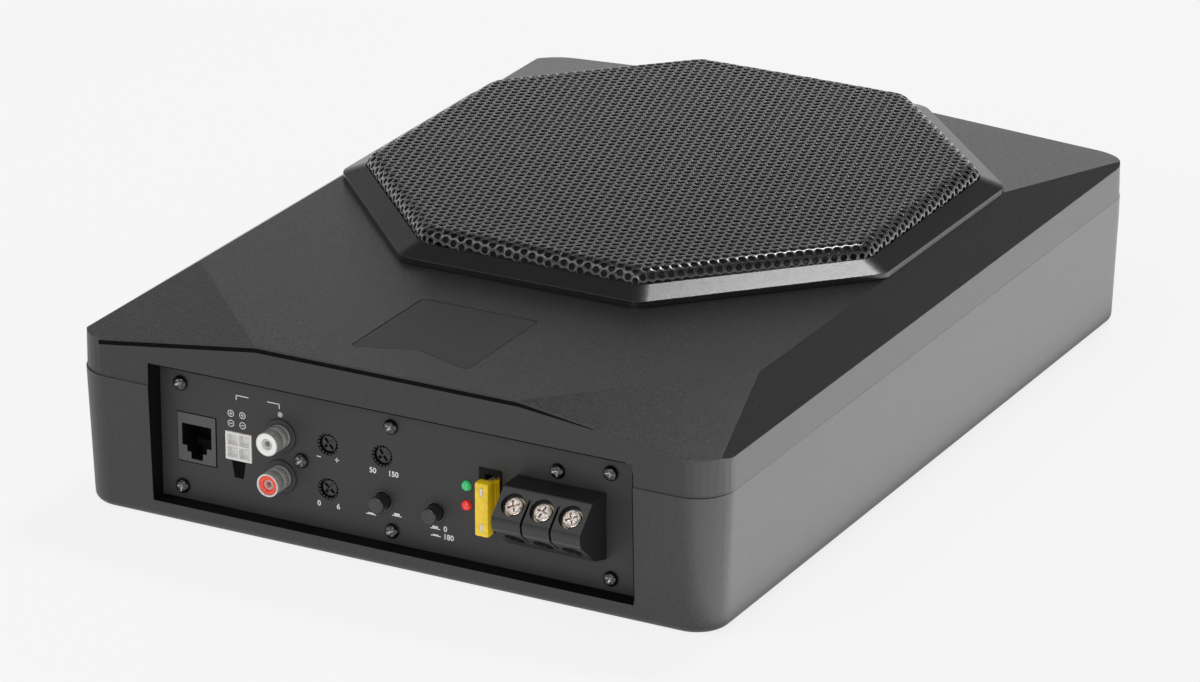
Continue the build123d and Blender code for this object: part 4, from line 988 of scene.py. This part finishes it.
# ------------------------------------------------------------------ stage, light, camera
FLOOR, FLOOR_Z = 14, -1e-5    # metres: half its side, and just under the cabinet
floor_mesh = bpy.data.meshes.new("studio_floor")
floor_mesh.from_pydata([(-FLOOR, -FLOOR, FLOOR_Z), (FLOOR, -FLOOR, FLOOR_Z),
                        (FLOOR, FLOOR, FLOOR_Z), (-FLOOR, FLOOR, FLOOR_Z)], [], [(0, 1, 2, 3)])
floor = bpy.data.objects.new("studio_floor", floor_mesh)
bpy.context.scene.collection.objects.link(floor)
floor_mat = new_material("floor_pale", (0.15, 0.15, 0.15), rough=0.9, spec=0.0,
                         emission=(1, 1, 1), strength=0.83)
floor_mesh.materials.append(floor_mat)

world = bpy.data.worlds.new("studio")
bpy.context.scene.world = world
world.use_nodes = True
wn = world.node_tree
bg = wn.nodes["Background"]
tc = wn.nodes.new("ShaderNodeTexCoord")
sx = wn.nodes.new("ShaderNodeSeparateXYZ")
ramp = wn.nodes.new("ShaderNodeValToRGB")
wn.links.new(tc.outputs["Generated"], sx.inputs[0])
wn.links.new(sx.outputs["Z"], ramp.inputs["Fac"])
# brightness by height of direction, from straight down to straight up
stops = [(0.0, 1.15), (0.1, 0.95), (0.21, 0.6), (0.29, 0.56), (0.36, 0.4), (0.44, 0.15),
         (0.56, 0.11), (0.75, 0.13), (1.0, 0.15)]
while len(ramp.color_ramp.elements) < len(stops):
    ramp.color_ramp.elements.new(0.5)
for element, (p, v) in zip(ramp.color_ramp.elements, stops):
    element.position = p
    element.color = (v, v, v, 1)
wn.links.new(ramp.outputs["Color"], bg.inputs["Color"])
bg.inputs["Strength"].default_value = 1.0
bpy.context.scene.view_settings.view_transform = "Standard"


def area(name, at, size, power, target=(0, 0, 0.04), size_y=None):
    """A softbox in metres and watts that faces its target."""
    light = bpy.data.lights.new(name, "AREA")
    light.energy = power
    light.size = size
    if size_y:
        light.shape = "RECTANGLE"
        light.size_y = size_y
    lamp = bpy.data.objects.new(name, light)
    lamp.location = at
    lamp.rotation_euler = (Vector(target) - Vector(at)).to_track_quat("-Z", "Y").to_euler()
    bpy.context.scene.collection.objects.link(lamp)
    return lamp


area("top_soft", (0.09, 0.67, 1.4), 0.28, 6.2, size_y=0.22)
area("side_soft", (-0.95, -0.85, 1.75), 1.1, 6)
area("front_soft", (0.1, -1.7, 1.0), 0.5, 7)
# a card on the floor that brightens the right wall as in the photo, unseen by the camera
card = area("right_card", (0.295, 0.15, 0.0005), 0.34, 1.7, target=(0.295, 0.15, 1), size_y=0.95)
card.visible_camera = False

# the camera, solved from the cabinet's edges in the photo
LENS, CAMERA_AT = 180.4, (0.9319, -1.7546, 0.8150)
az, el, roll = math.radians(28.20), math.radians(21.709), math.radians(0.045)
r = Vector((math.cos(az), math.sin(az), 0))
u = Vector((-math.sin(az) * math.sin(el), math.cos(az) * math.sin(el), math.cos(el)))
b = r.cross(u)
r2 = math.cos(roll) * r + math.sin(roll) * u
u2 = -math.sin(roll) * r + math.cos(roll) * u
cam_data = bpy.data.cameras.new("camera")
cam_data.sensor_width = 36.0
cam_data.lens = LENS
cam_data.clip_end = 60
cam = bpy.data.objects.new("camera", cam_data)
m = Matrix((r2, u2, b)).transposed().to_4x4()
m.translation = Vector(CAMERA_AT)
cam.matrix_world = m
bpy.context.scene.collection.objects.link(cam)
bpy.context.scene.camera = cam
